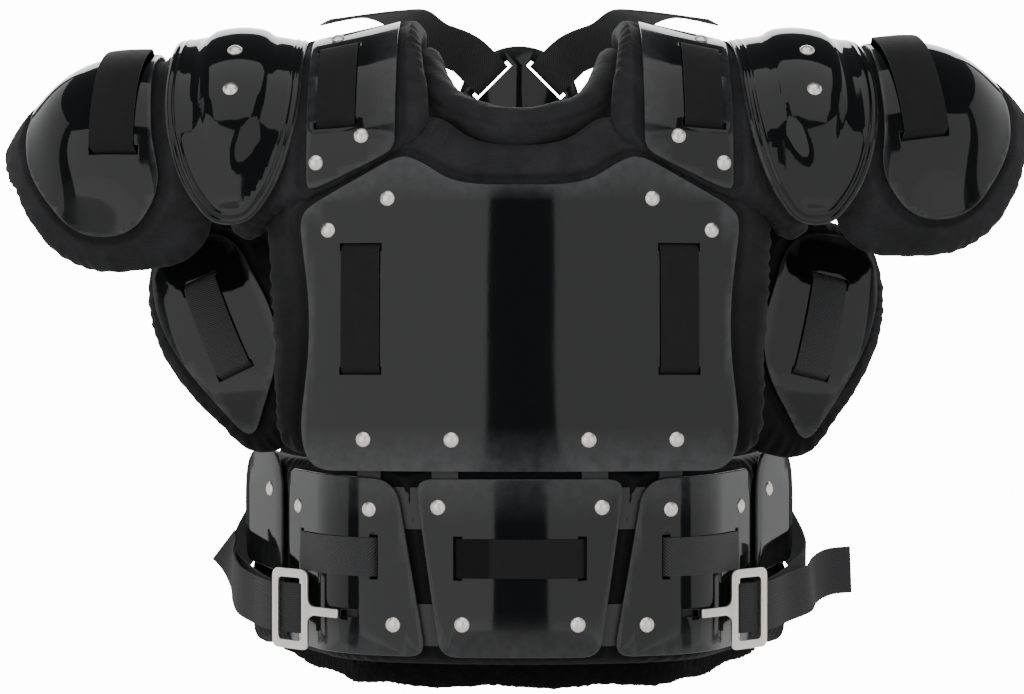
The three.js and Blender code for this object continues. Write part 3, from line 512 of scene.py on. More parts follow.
# %% Shoulder, arm and rib surfaces
YOKE = {"y": -0.005, "z": -0.072, "radius": 0.108, "at": 0.083, "narrowing": 0.22, "arc": 0.110}
CAP = {"radius": 0.104, "crown": 0.006, "half": 0.047, "arc": 0.100, "boss": 0.006}
CAP_SIDES = {"right": {"x": 0.192, "turn": 5}, "left": {"x": 0.195, "turn": 1}}
BOSS = {"tip": -0.002, "widest": 0.096, "end": 0.178, "half": 0.027, "bank": 0.2, "step": 0.5}
ARM = {"x": 0.236, "z": -0.060, "out": 0.129, "deep": 0.088, "high": 0.078, "u_arc": 0.120, "v_arc": 0.085,
       "drop": 2.2, "dome": 0.009}
ARM_SIDES = {"right": {"tilt": -3, "up": 0.002}, "left": {"tilt": 4, "up": -0.004}}
ARM_DOME = {"out": 27, "out_half": 29, "round": 34, "round_half": 80, "bank": 0.8}
RIB = {"at": (0.215, -0.020, -0.183), "bend": 0.250, "turn": 18, "tilt": {"right": 13, "left": 24}}


def smooth(t):
    k = np.clip(t, 0, 1)
    return k * k * (3 - 2 * k)


def yoke_place(x, v, lift):
    radius = YOKE["radius"] - YOKE["narrowing"] * (x - YOKE["at"]) + lift
    turn = v / YOKE["arc"]
    return x, YOKE["y"] - radius * np.cos(turn), YOKE["z"] + radius * np.sin(turn)


def cap_raise(u, v):
    """The egg-shaped boss of a cap: pointed at the front and widest near the top."""
    below = (BOSS["widest"] - v) / (BOSS["widest"] - BOSS["tip"])
    above = (v - BOSS["widest"]) / (BOSS["end"] - BOSS["widest"])
    edge = np.hypot(u / BOSS["half"], np.where(v < BOSS["widest"], below, above))
    inside = np.clip(1 - edge, 0, 1)
    step, dome = smooth(inside / BOSS["bank"]), 1 - (1 - inside) ** 2
    return CAP["boss"] * (BOSS["step"] * step + (1 - BOSS["step"]) * dome)


def cap_place(side):
    turn = math.radians(CAP_SIDES[side]["turn"])

    def place(u, v, lift):
        radius = CAP["radius"] - CAP["crown"] * (u / CAP["half"]) ** 2 + lift + cap_raise(u, v)
        y, z = -radius * np.cos(v / CAP["arc"]), radius * np.sin(v / CAP["arc"])
        x = u * math.cos(turn) - y * math.sin(turn) + CAP_SIDES[side]["x"]
        return x, u * math.sin(turn) + y * math.cos(turn) + YOKE["y"], z + YOKE["z"]

    return place


def arm_place(u, v, lift):
    drawn = np.where(v < 0, ARM["drop"], 1.0)
    out, around = u / ARM["u_arc"], v / ARM["v_arc"] / drawn
    unit = np.array([np.sin(out), -np.cos(out) * np.cos(around), np.cos(out) * np.sin(around)])
    size = np.array([np.full_like(u, ARM["out"]), np.full_like(u, ARM["deep"]), ARM["high"] * drawn])
    normal = unit / size
    normal /= np.linalg.norm(normal, axis=0)
    x, y, z = unit * size + normal * lift
    return x + ARM["x"], y, z + ARM["z"]


def arm_plate_place(u, v, lift):
    """The arm plate rises in a dome inside a flat rim."""
    out = (np.degrees(u / ARM["u_arc"]) - ARM_DOME["out"]) / ARM_DOME["out_half"]
    around = (np.degrees(v / ARM["v_arc"]) - ARM_DOME["round"]) / ARM_DOME["round_half"]
    return arm_place(u, v, lift + ARM["dome"] * smooth((1 - np.hypot(out, around)) / ARM_DOME["bank"]))


def on_arm(side, place):
    """Tilts an arm panel about its middle and shifts it: the left arm droops and the right one is raised."""
    tilt = math.radians(ARM_SIDES[side]["tilt"])

    def tilted(u, v, lift):
        x, y, z = place(u, v, lift)
        x, z = x - ARM["x"], z - ARM["z"]
        up = ARM["z"] + ARM_SIDES[side]["up"]
        across = ARM["x"] + x * math.cos(tilt) + z * math.sin(tilt)
        return across, y, up - x * math.sin(tilt) + z * math.cos(tilt)

    return tilted


def rib_place(side):
    turned = Matrix.Rotation(math.radians(RIB["turn"]), 3, "Z")
    tilted = Matrix.Rotation(math.radians(RIB["tilt"][side]), 3, "Y")
    matrix = np.array(turned @ tilted)

    def place(u, v, lift):
        flat = np.array([u, (u * u + v * v) / (2 * RIB["bend"]) - lift, v])
        x, y, z = matrix @ flat
        return x + RIB["at"][0], y + RIB["at"][1], z + RIB["at"][2]

    return place


print("surfaces: yoke, caps, arms, ribs")

# %% [markdown]
# ## From a circle to a bent plate
# A plate could be drawn in space point by point, but then its slots and edges would be hard to keep even.
# It is made flat, as in a workshop: a filled circle is pulled to the outline, extruded to its thickness,
# slotted with boxes and bevelled. Then it is bisected into narrow strips, because only an edge can bend,
# and bent over its panel.

# %% Modelling helpers


def only(piece):
    bpy.ops.object.select_all(action="DESELECT")
    piece.select_set(True)
    bpy.context.view_layer.objects.active = piece


def apply_modifier(piece, kind, **settings):
    only(piece)
    modifier = piece.modifiers.new(kind.lower(), kind)
    for key, value in settings.items():
        setattr(modifier, key, value)
    bpy.ops.object.modifier_apply(modifier=modifier.name)


def own_copy(piece, name):
    copy = piece.copy()
    copy.data = piece.data.copy()
    copy.name = copy.data.name = name
    bpy.context.collection.objects.link(copy)
    return copy


def remove(piece):
    bpy.data.objects.remove(piece, do_unlink=True)


def coordinates(piece):
    flat = np.empty(3 * len(piece.data.vertices))
    piece.data.vertices.foreach_get("co", flat)
    return flat.reshape(-1, 3).T.copy()


def move_to(piece, places):
    piece.data.vertices.foreach_set("co", np.stack(places, axis=1).ravel())
    piece.data.update()


def bend(piece, place, sign=1):
    """Lays a flat piece on its panel; the left panels are the right ones mirrored."""
    x, y, z = place(*coordinates(piece))
    move_to(piece, (sign * x, y, z))
    if sign < 0:
        piece.data.flip_normals()


def dress(piece, material, slot, *nodes):
    """Gives a finished piece its material and its place in the frame."""
    piece.data.materials.clear()
    piece.data.materials.append(material)
    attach(piece, "root")
    if nodes:
        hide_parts(*nodes)
    print(piece.name, len(piece.data.polygons), "faces")


# %% Outlines


def rounded(corners, spacing=0.0035):
    """A closed outline in metres from corners (across, up, cut) in millimetres.

    A corner's rounding starts at the distance cut from it.
    """
    flat = [np.array(corner[:2]) * MM for corner in corners]
    points = []
    for i, (_, _, cut) in enumerate(corners):
        here = flat[i]
        ends = []
        for other in (flat[i - 1], flat[(i + 1) % len(flat)]):
            side = other - here
            length = np.linalg.norm(side)
            ends.append(here + side / length * min(cut * MM, 0.48 * length))
        steps = max(2, round(np.linalg.norm(ends[1] - ends[0]) / spacing)) if cut else 0
        for t in np.linspace(0, 1, steps + 1):
            points.append((1 - t) ** 2 * ends[0] + 2 * t * (1 - t) * here + t * t * ends[1])
    return np.array(points)


def both_halves(half):
    return half + [(-u, v, cut) for u, v, cut in reversed(half)]


def arm_outline(corners):
    """The outline of an arm piece from corners (out, round, cut), the first two in degrees."""
    per_out, per_round = math.radians(ARM["u_arc"] / MM), math.radians(ARM["v_arc"] / MM)
    return rounded([(out * per_out, around * per_round, cut) for out, around, cut in corners])


def grown(contour, by):
    """An outline moved outwards by a distance."""
    along = np.roll(contour, -1, axis=0) - np.roll(contour, 1, axis=0)
    along /= np.linalg.norm(along, axis=1, keepdims=True)
    after = np.roll(contour, -1, axis=0)
    turning = np.sign(np.sum(contour[:, 0] * after[:, 1] - after[:, 0] * contour[:, 1]))
    return contour + by * turning * np.stack([along[:, 1], -along[:, 0]], axis=1)


def edge_distance(u, v, contour):
    """How far each point is from an outline, and how far round it the nearest place lies."""
    nearest, around = np.full(u.shape, np.inf), np.zeros(u.shape)
    walked = 0.0
    for start, end in zip(contour, np.roll(contour, -1, axis=0)):
        along = end - start
        length = np.linalg.norm(along)
        if length < 1e-7:
            continue
        t = np.clip(((u - start[0]) * along[0] + (v - start[1]) * along[1]) / length ** 2, 0, 1)
        distance = np.hypot(u - start[0] - t * along[0], v - start[1] - t * along[1])
        nearer = distance < nearest
        around = np.where(nearer, walked + t * length, around)
        nearest = np.where(nearer, distance, nearest)
        walked += length
    return nearest, around


# %% Flat plates
PLATE_LIFT = (0.0032, 0.0058)
SLOT = (0.029, 0.0054)
CUTTER_DEPTH = 0.04
BEVEL_ANGLE = math.radians(50)
PLATE_SMOOTH = math.radians(35)


def flat_plate(name, contour, lifts, rings=()):
    """A filled circle pulled to the outline and extruded; rings of inset on its face carry beads."""
    bpy.ops.object.select_all(action="DESELECT")
    bpy.ops.mesh.primitive_circle_add(vertices=len(contour), radius=1, fill_type="NGON")
    piece = bpy.context.object
    piece.name = piece.data.name = name
    low = np.full(len(contour), lifts[0])
    move_to(piece, (contour[:, 0], contour[:, 1], low))
    bpy.ops.object.mode_set(mode="EDIT")
    bpy.ops.mesh.select_all(action="SELECT")
    bpy.ops.mesh.extrude_region_move(TRANSFORM_OT_translate={"value": (0, 0, lifts[1] - lifts[0])})
    for step in rings:
        bpy.ops.mesh.inset(thickness=step)
    bpy.ops.mesh.select_all(action="SELECT")
    bpy.ops.mesh.normals_make_consistent(inside=False)
    bpy.ops.object.mode_set(mode="OBJECT")
    return piece


def cut_slots(piece, slots):
    """Cuts a rectangular slot for each (across, up, turn, (length, width))."""
    for u, v, turn, size in slots:
        bpy.ops.object.select_all(action="DESELECT")
        bpy.ops.mesh.primitive_cube_add(size=1, location=(u, v, 0), rotation=(0, 0, turn))
        cutter = bpy.context.object
        cutter.scale = (*size, CUTTER_DEPTH)
        bpy.ops.object.transform_apply(location=True, rotation=True, scale=True)
        apply_modifier(piece, "BOOLEAN", operation="DIFFERENCE", object=cutter, solver="EXACT")
        remove(cutter)


def bisect_into_strips(piece, steps):
    """Cuts a flat piece along lines that are a step apart, across and up; no step leaves that way whole."""
    spread = coordinates(piece)
    only(piece)
    bpy.ops.object.mode_set(mode="EDIT")
    for axis, step in enumerate(steps):
        if not step:
            continue
        low, high = spread[axis].min(), spread[axis].max()
        normal = [0, 0, 0]
        normal[axis] = 1
        for line in np.linspace(low, high, max(2, round((high - low) / step)) + 1)[1:-1]:
            bpy.ops.mesh.select_all(action="SELECT")
            bpy.ops.mesh.bisect(plane_co=[line * n for n in normal], plane_no=normal)
    bpy.ops.object.mode_set(mode="OBJECT")


def mark_rim(piece, contour, reach=0.0022):
    """Stores how near each point is to the outline, for the scuffed line along the rim."""
    u, v, _ = coordinates(piece)
    distance, _ = edge_distance(u, v, contour)
    rim = piece.data.attributes.new("rim", "FLOAT", "POINT")
    rim.data.foreach_set("value", np.clip(1 - distance / reach, 0, 1))


def flat_shell(name, contour, steps, slots=(), lifts=PLATE_LIFT, bevel=0.0009, rings=()):
    piece = flat_plate(name, contour, lifts, rings)
    cut_slots(piece, slots)
    apply_modifier(piece, "BEVEL", width=bevel, segments=3, limit_method="ANGLE", angle_limit=BEVEL_ANGLE)
    bisect_into_strips(piece, steps)
    mark_rim(piece, contour)
    return piece


def finish_shell(piece, place, sign, *nodes):
    bend(piece, place, sign)
    only(piece)
    bpy.ops.object.shade_smooth_by_angle(angle=PLATE_SMOOTH)
    dress(piece, PLATE_FINISH, "plate_plastic", *nodes)


print("plate helpers ready")

# %% [markdown]
# ## Chest and belly plates
# One broad plate covers the chest, scooped for the neck. Below it three plates and two small flank plates
# wrap the belly. All but the flank plates have slots for the loops of webbing that hold them to their pad.

# %% Chest plate
CHEST_PLATE_HALF = [
    (141, -274, 16), (150, -250, 20), (141, -176, 60), (151, -104, 14), (143, -95, 10),
    (80, -61, 14), (66, -66, 12), (42, -82, 26),
]
CHEST_LOOP = {"s": 0.107, "high": -0.1236, "low": -0.207}

chest_contour = rounded(both_halves(CHEST_PLATE_HALF))
chest_slots = [
    (sign * CHEST_LOOP["s"], CHEST_LOOP[end], 0, SLOT) for sign in (1, -1) for end in ("high", "low")
]
chest_shell = flat_shell("chest_shell", chest_contour, (0.006, 0.03), chest_slots)
finish_shell(chest_shell, chest_place, 1, "chest_plate")

# %% Belly plates
UPRIGHT = math.pi / 2
BELLY_CENTER_HALF = [(53, -398, 12), (70, -279, 12)]
BELLY_SIDE = [(207, -398, 12), (207, -276, 12), (83, -279, 18), (62, -398, 12)]
FLANK = [(296, -347, 10), (300, -285, 30), (284, -264, 24), (238, -262, 24), (222, -280, 16), (222, -352, 8)]
BELLY_LOOP = {"z": -0.332, "center": 0.041, "from": 0.098, "to": 0.180}
HOOK_SLOT = {"s": 0.117, "z": -0.371, "size": (0.014, 0.004)}

belly_center_contour = rounded(both_halves(BELLY_CENTER_HALF))
belly_side_contour = rounded(BELLY_SIDE)
center_slots = [(sign * BELLY_LOOP["center"], BELLY_LOOP["z"], UPRIGHT, SLOT) for sign in (1, -1)]
center_shell = flat_shell("belly_shell_center", belly_center_contour, (0.005, 0.03), center_slots)
finish_shell(center_shell, belly_place, 1, "belly_plate_center")

side_slots = [(BELLY_LOOP[end], BELLY_LOOP["z"], UPRIGHT, SLOT) for end in ("from", "to")]
side_slots.append((HOOK_SLOT["s"], HOOK_SLOT["z"], 0, HOOK_SLOT["size"]))
side_flat = flat_shell("belly_side_flat", belly_side_contour, (0.003, 0.03), side_slots)
flank_flat = flat_shell("flank_flat", rounded(FLANK), (0.012, 0.03))
for side, sign in SIDES.items():
    finish_shell(own_copy(side_flat, f"belly_shell_{side}"), belly_place, sign, f"belly_plate_{side}")
    finish_shell(own_copy(flank_flat, f"flank_shell_{side}"), belly_place, sign, f"flank_plate_{side}")
remove(side_flat)
remove(flank_flat)

# %% [markdown]
# ## Shoulder, arm and rib plates
# The collarbone plates follow the cone of the yoke. The caps are pressed with an egg-shaped boss and two
# beads along the rim: rings of inset give the beads the edges they need. The arm plates rise in a dome from
# a flat rim.

# %% Collarbone plates and caps
COLLARBONE = [(145, -16, 8), (145, 150, 16), (132, 166, 14), (84, 168, 12), (84, 14, 8)]
COLLARBONE_LOOP = {"x": 0.125, "low": 0.034, "high": 0.112}
CAP_HALF = [(13, -36, 12), (34, -8, 20), (47, 40, 30), (46, 150, 24), (40, 196, 18)]
CAP_LIFT = (-0.0026, 0.0)
BEADS = [(0.0026, 0.0014, 0.0009), (0.0070, 0.0014, 0.0008)]
BEAD_RINGS = [0.0012] + 16 * [0.0005]

collarbone_slots = [(COLLARBONE_LOOP["x"], COLLARBONE_LOOP[end], 0, SLOT) for end in ("low", "high")]
collarbone_flat = flat_shell("collarbone_flat", rounded(COLLARBONE), (0.02, 0.005), collarbone_slots)
cap_contour = rounded(both_halves(CAP_HALF))
cap_flat = flat_shell("cap_flat", cap_contour, (0.004, 0.004), lifts=CAP_LIFT, rings=BEAD_RINGS)


def bead_the_rim(piece, contour):
    """Lifts two rounded beads, each (distance from the rim, half width, height), on the face of a cap."""
    u, v, lift = coordinates(piece)
    distance, _ = edge_distance(u, v, contour)
    for at, half, height in BEADS:
        lift = lift + height * np.exp(-((distance - at) / half) ** 2)
    move_to(piece, (u, v, lift))


bead_the_rim(cap_flat, cap_contour)
for side, sign in SIDES.items():
    collarbone = own_copy(collarbone_flat, f"collarbone_shell_{side}")
    finish_shell(collarbone, yoke_place, sign, f"collarbone_plate_{side}")
    finish_shell(own_copy(cap_flat, f"cap_shell_{side}"), cap_place(side), sign, f"shoulder_cap_{side}")
remove(collarbone_flat)
remove(cap_flat)

# %% Arm and rib plates
ARM_PLATE = [
    (4, -12, 20), (14, -37, 20), (34, -40, 24), (52, -4, 32), (54, 40, 34), (40, 112, 45), (6, 112, 24),
    (6, 12, 12),
]
ARM_LOOP = {"low": (0.036, 0.010), "high": (0.028, 0.110), "rise": 0.003}
ARM_SLOT = (0.030, 0.0062)
RIB_PLATE = [(8, -80, 16), (40, 18, 46), (28, 75, 24), (-38, 70, 28), (-50, -22, 38)]
RIB_LOOP = {"u": -0.0045, "low": -0.029, "high": 0.040}

arm_along = np.subtract(ARM_LOOP["high"], ARM_LOOP["low"])
arm_turn = math.atan2(arm_along[1], arm_along[0]) - UPRIGHT
arm_slots = [(*ARM_LOOP[end], arm_turn, ARM_SLOT) for end in ("low", "high")]
arm_contour = arm_outline(ARM_PLATE)
arm_flat = flat_shell("arm_flat", arm_contour, (0.005, 0.005), arm_slots)
rib_slots = [(RIB_LOOP["u"], RIB_LOOP[end], 0, SLOT) for end in ("low", "high")]
rib_contour = rounded(RIB_PLATE)
rib_flat = flat_shell("rib_flat", rib_contour, (0.008, 0.008), rib_slots)
for side, sign in SIDES.items():
    arm_shell = own_copy(arm_flat, f"arm_shell_{side}")
    finish_shell(arm_shell, on_arm(side, arm_plate_place), sign, f"arm_plate_{side}")
    finish_shell(own_copy(rib_flat, f"rib_shell_{side}"), rib_place(side), sign, f"rib_plate_{side}")
remove(arm_flat)
remove(rib_flat)

# %% [markdown]
# ## Rivets
# Each rivet is a thin domed nickel head. A sphere is bisected to keep its top, and the cut edge is extruded
# down into a short skirt. One head is modelled at the origin and copied onto the chest, belly, flank,
# collarbone and cap plates, turned to stand square on its face.

# %% Rivet head
RIVET = {"radius": 0.0052, "height": 0.0024, "skirt": 0.0008, "sunk": 0.0003}
RIVETS = {
    "chest": [(88.7, -91), (130, -112), (45.4, -253), (104.7, -253)],
    "belly_center": [(54, -298), (38, -376)],
    "belly_side": [(101, -300), (187, -302), (84.5, -377)],
    "flank": [(245, -293)],
    "collarbone": [(107, 24), (138, 6), (127, 132)],
    "cap": [(0, 89), (0, 54)],
}


def rivet_head():
    ball = (RIVET["radius"] ** 2 + RIVET["height"] ** 2) / (2 * RIVET["height"])
    bpy.ops.object.select_all(action="DESELECT")
    bpy.ops.mesh.primitive_uv_sphere_add(segments=28, ring_count=40, radius=ball)
    head = bpy.context.object
    head.name = "rivet_head"
    bpy.ops.object.mode_set(mode="EDIT")
    bpy.ops.mesh.select_all(action="SELECT")
    cut = ball - RIVET["height"]
    bpy.ops.mesh.bisect(plane_co=(0, 0, cut), plane_no=(0, 0, 1), clear_inner=True)
    bpy.ops.mesh.extrude_edges_move(TRANSFORM_OT_translate={"value": (0, 0, -RIVET["skirt"])})
    bpy.ops.mesh.edge_face_add()
    bpy.ops.mesh.select_all(action="SELECT")
    bpy.ops.transform.translate(value=(0, 0, RIVET["skirt"] - cut - RIVET["sunk"]))
    bpy.ops.mesh.normals_make_consistent(inside=False)
    bpy.ops.object.mode_set(mode="OBJECT")
    bpy.ops.object.shade_smooth_by_angle(angle=math.radians(50))
    return head


HEAD = rivet_head()
head_top = round(coordinates(HEAD)[2].max() / MM, 2)
print("rivet head", len(HEAD.data.polygons), "faces, top at", head_top, "mm")

# %% Rivets in place


def stand_on(place, u, v, lift, sign):
    """The matrix that stands a piece upright on a panel at a place of its flat sheet."""
    here, above = [
        Vector([float(c[0]) for c in place(np.array([u]), np.array([v]), np.array([lift + step]))])
        for step in (0, 0.001)
    ]
    here.x, above.x = sign * here.x, sign * above.x
    turn = (above - here).to_track_quat("Z", "Y").to_matrix().to_4x4()
    return Matrix.Translation(here) @ turn


def set_rivets(name, rows, place, lift, signs):
    heads = []
    for sign in signs:
        for u, v in rows:
            head = own_copy(HEAD, name)
            head.data.transform(stand_on(place, u * MM, v * MM, lift, sign))
            heads.append(head)
    only(heads[0])
    for head in heads:
        head.select_set(True)
    bpy.ops.object.join()
    heads[0].name = heads[0].data.name = name
    dress(heads[0], NICKEL, "nickel")


FACE = PLATE_LIFT[1]
set_rivets("rivets_chest", RIVETS["chest"], chest_place, FACE, (1, -1))
set_rivets("rivets_belly_center", RIVETS["belly_center"], belly_place, FACE, (1, -1))
for side, sign in SIDES.items():
    set_rivets(f"rivets_belly_{side}", RIVETS["belly_side"] + RIVETS["flank"], belly_place, FACE, (sign,))
    set_rivets(f"rivets_collarbone_{side}", RIVETS["collarbone"], yoke_place, FACE, (sign,))
    set_rivets(f"rivets_cap_{side}", RIVETS["cap"], cap_place(side), 0.0, (sign,))
remove(HEAD)

# %% [markdown]
# ## Pads
# A pad is a sewn bag of nylon over foam. Its flat outline is extruded and voxel-remeshed into an even skin,
# and cloth pressure then swells it for a few frames. A cap keeps the swelling small, and where a plate lies
# on the pad its face is held down. The filling draws the rim in, so the outline starts a little large.
# Puckers run in from the sewn rim. All of this happens flat, and the pad is bent to its panel last.

# %% Pad helpers
VOXEL = 0.0045
SWELL_CAP = 0.0055
DRAWN_IN = 0.0045
SEAM = 0.0065
FRAMES = 20
CLOTH = {"quality": 4, "mass": 0.3, "stiffness": 18, "bending": 0.6}
EASE = {"from": 0.003, "over": 0.008, "rise": 0.006}
THICKNESS = {"chest": 0.022, "belly": 0.018, "yoke": 0.016, "arm": 0.015, "rib": 0.017}
BELLY_CEILING = 0.0004


def inside(u, v, contour):
    """True for the points inside a closed outline."""
    crossings = np.zeros(u.shape, dtype=int)
    for (u0, v0), (u1, v1) in zip(contour, np.roll(contour, -1, axis=0)):
        if v0 == v1:
            continue
        spans = (v0 > v) != (v1 > v)
        crossings += spans & (u < u0 + (v - v0) / (v1 - v0) * (u1 - u0))
    return crossings % 2 == 1


def inflate(piece, pressure=4.0):
    """Swells a closed skin with cloth pressure and keeps each point within the cap of where it was."""
    before = coordinates(piece)
    only(piece)
    cloth = piece.modifiers.new("pressure", "CLOTH")
    cloth.settings.quality = CLOTH["quality"]
    cloth.settings.mass = CLOTH["mass"]
    cloth.settings.tension_stiffness = cloth.settings.compression_stiffness = CLOTH["stiffness"]
    cloth.settings.bending_stiffness = CLOTH["bending"]
    cloth.settings.use_pressure = True
    cloth.settings.uniform_pressure_force = pressure
    cloth.settings.effector_weights.gravity = 0
    cloth.collision_settings.use_collision = False
    cloth.point_cache.frame_start, cloth.point_cache.frame_end = 1, FRAMES
    for number in range(1, FRAMES + 1):
        bpy.context.scene.frame_set(number)
    bpy.ops.object.modifier_apply(modifier=cloth.name)
    bpy.context.scene.frame_set(1)
    moved = coordinates(piece) - before
    moved -= moved.mean(axis=1, keepdims=True)
    length = np.linalg.norm(moved, axis=0)
    move_to(piece, before + moved * np.minimum(1, SWELL_CAP / np.maximum(length, 1e-9)))


def pucker(piece, contour, depth, spacing, reach=0.016):
    """Short folds that run in from the sewn rim, uneven in spacing and depth."""
    u, v, lift = coordinates(piece)
    distance, around = edge_distance(u, v, contour)
    uneven = 1.6 * np.sin(around * 97 + 0.4) + 1.1 * np.sin(around * 41 + 1.7)
    folds = np.sin(2 * math.pi * around / spacing + uneven) * (0.65 + 0.35 * np.sin(around * 61))
    fade = np.exp(-((distance / reach) ** 2))
    slow = np.sin(u * 83 + 1.3 * np.sin(v * 57)) * np.sin(v * 71 + 0.8 * np.sin(u * 63))
    move_to(piece, (u, v, lift + depth * folds * fade + 0.0006 * slow))


def hold_under(piece, cover, ceiling):
    """Keeps the face of a pad below the plate that covers it, and eases it out at the plate's rim."""
    u, v, lift = coordinates(piece)
    distance, _ = edge_distance(u, v, cover)
    covered = inside(u, v, cover)
    free = np.where(covered, 0, smooth((distance - EASE["from"]) / EASE["over"]))
    move_to(piece, (u, v, np.minimum(lift, ceiling + free * EASE["rise"])))


def flat_pad(name, contour, thickness, covers=(), ceiling=0.001, depth=0.0011, spacing=0.0105, allowance=0.0):
    piece = flat_plate(name, grown(contour, DRAWN_IN + allowance), (-thickness, 0.0))
    apply_modifier(piece, "BEVEL", width=thickness * 0.25, segments=3, limit_method="ANGLE", angle_limit=1.0)
    apply_modifier(piece, "REMESH", mode="VOXEL", voxel_size=VOXEL)
    inflate(piece)
    apply_modifier(piece, "SMOOTH", factor=0.5, iterations=3)
    apply_modifier(piece, "SUBSURF", levels=1, render_levels=1)
    pucker(piece, contour, depth, spacing)
    for cover in covers:
        hold_under(piece, cover, ceiling)
    return piece


def finish_pad(piece, place, sign, *nodes):
    bend(piece, place, sign)
    only(piece)
    bpy.ops.object.shade_smooth()
    dress(piece, NYLON, "pad_fabric", *nodes)


print("pad helpers ready")

# %% Chest and belly pads
CHEST_PAD_HALF = [
    (170, -256.5, 12), (179, -190, 40), (186, -93, 8), (150, -88, 20), (82, -54, 8), (64, -38, 8),
    (38, -55, 10), (16, -59.5, 10),
]
BELLY_PAD_HALF = [(302, -405, 14), (302, -268, 24)]
chest_pad = flat_pad("chest_cushion", rounded(both_halves(CHEST_PAD_HALF)), THICKNESS["chest"],
                     [chest_contour], allowance=SEAM)
finish_pad(chest_pad, chest_place, 1, "chest_pad")

belly_covers = [belly_center_contour, belly_side_contour, belly_side_contour * (-1, 1)]
belly_covers += [rounded(FLANK), rounded(FLANK) * (-1, 1)]
belly_pad = flat_pad("belly_cushion", rounded(both_halves(BELLY_PAD_HALF)), THICKNESS["belly"], belly_covers,
                     BELLY_CEILING)
finish_pad(belly_pad, belly_place, 1, "belly_pad")

# %% Shoulder, arm and rib pads
YOKE_PAD = [
    (193, -64, 8), (193, 152, 30), (151, 198, 30), (75, 206, 24), (74, 110, 20), (68, 60, 14), (66, 28, 8),
    (174, -37.2, 4),
]
ARM_PAD = [
    (-11, -50, 36), (50, -72, 55), (83, 10, 60), (80, 120, 50), (36, 152, 60), (2, 130, 40), (-11, 40, 40),
]
RIB_PAD = [
    (13, -82, 14), (43, -8, 40), (42, 42, 30), (24, 78, 24), (-50, 74, 24), (-64, -10, 30), (-36, -82, 20),
]
RIB_SEAM = 0.004
yoke_flat = flat_pad("yoke_flat", rounded(YOKE_PAD), THICKNESS["yoke"], [rounded(COLLARBONE)], allowance=SEAM)
arm_pad_flat = flat_pad("arm_pad_flat", arm_outline(ARM_PAD), THICKNESS["arm"], [arm_contour], spacing=0.013)
rib_pad_flat = flat_pad("rib_pad_flat", rounded(RIB_PAD), THICKNESS["rib"], [rib_contour], spacing=0.009,
                        allowance=RIB_SEAM)
for side, sign in SIDES.items():
    finish_pad(own_copy(yoke_flat, f"shoulder_cushion_{side}"), yoke_place, sign, f"shoulder_pad_{side}")
    arm_cushion = own_copy(arm_pad_flat, f"arm_cushion_{side}")
    finish_pad(arm_cushion, on_arm(side, arm_place), sign, f"arm_pad_{side}")
    finish_pad(own_copy(rib_pad_flat, f"rib_cushion_{side}"), rib_place(side), sign, f"rib_pad_{side}")
for piece in (yoke_flat, arm_pad_flat, rib_pad_flat):
    remove(piece)

# %% [markdown]
# ## Smooth paths
# The collar, the straps and the tabs all follow a path through a few measured rows. A curve object could
# carry them, but a flat band has to twist in a known way, so the rows are joined by a Catmull-Rom curve
# instead. Its steps are weighted by the distance between rows, which keeps the tight folds free of loops.

# %% Paths
def through(rows, spacing):
    """Rows of numbers, the first three a place, joined by a smooth curve and spaced evenly along it."""
    rows = np.array(rows, dtype=float)
    ends = np.vstack([2 * rows[0] - rows[1], rows, 2 * rows[-1] - rows[-2]])
    fine = []
    for a, b, c, d in zip(ends, ends[1:], ends[2:], ends[3:]):
        first, middle, last = [np.linalg.norm((q - p)[:3]) ** 0.5 for p, q in ((a, b), (b, c), (c, d))]
        leave = ((b - a) / first - (c - a) / (first + middle) + (c - b) / middle) * middle
        arrive = ((c - b) / middle - (d - b) / (middle + last) + (d - c) / last) * middle
        for t in np.linspace(0, 1, 24, endpoint=False):
            onward = t * t * (3 - 2 * t)
            fine.append((1 - onward) * b + onward * c + t * (1 - t) ** 2 * leave - t * t * (1 - t) * arrive)
    fine = np.array(fine + [rows[-1]])
    walked = np.concatenate([[0], np.cumsum(np.linalg.norm(np.diff(fine[:, :3], axis=0), axis=1))])
    even = np.linspace(0, walked[-1], max(2, round(walked[-1] / spacing)) + 1)
    return np.stack([np.interp(even, walked, column) for column in fine.T], axis=1)


def flat_grid(name, columns, rows):
    """A grid from -1 to 1 across and 0 to 1 along: the piece and its two flat coordinates."""
    bpy.ops.object.select_all(action="DESELECT")
    bpy.ops.mesh.primitive_grid_add(x_subdivisions=columns, y_subdivisions=rows, size=2)
    piece = bpy.context.object
    piece.name = piece.data.name = name
    x, y, _ = coordinates(piece)
    return piece, x, (y + 1) / 2


def mirror(piece, sign):
    if sign < 0:
        x, y, z = coordinates(piece)
        move_to(piece, (-x, y, z))
        piece.data.flip_normals()


print("path helpers ready")

# %% [markdown]
# ## Collar
# The collar is a foam roll in a nylon tube that is thickest at the throat. A grid is rolled round the path
# and its edges are welded. Then it is remeshed and filled by cloth pressure like the pads, and pinches are
# drawn in along the upper side, where the tube is on the inside of the bend.

# %% Collar roll
COLLAR_HALF = [
    (64, 6, 18, 6.5), (65, -18, 10, 10.5), (62, -42, -6, 13), (48, -74, -29, 14.5), (24, -91, -40, 15),
]
COLLAR_FRONT = (0, -97, -44, 15)
COLLAR_ROLL = {"slack": 1.06, "pinch": 0.0013, "pinch_every": 0.0115, "seam": 0.0009, "step": 0.003,
               "end": 0.006, "voxel": 0.0032}
NECK_MIDDLE = np.array([0, 0.03, 0.02])

collar_rows = COLLAR_HALF + [COLLAR_FRONT] + [(-x, y, z, r) for x, y, z, r in reversed(COLLAR_HALF)]
collar_path = through(np.array(collar_rows) * MM, COLLAR_ROLL["step"])


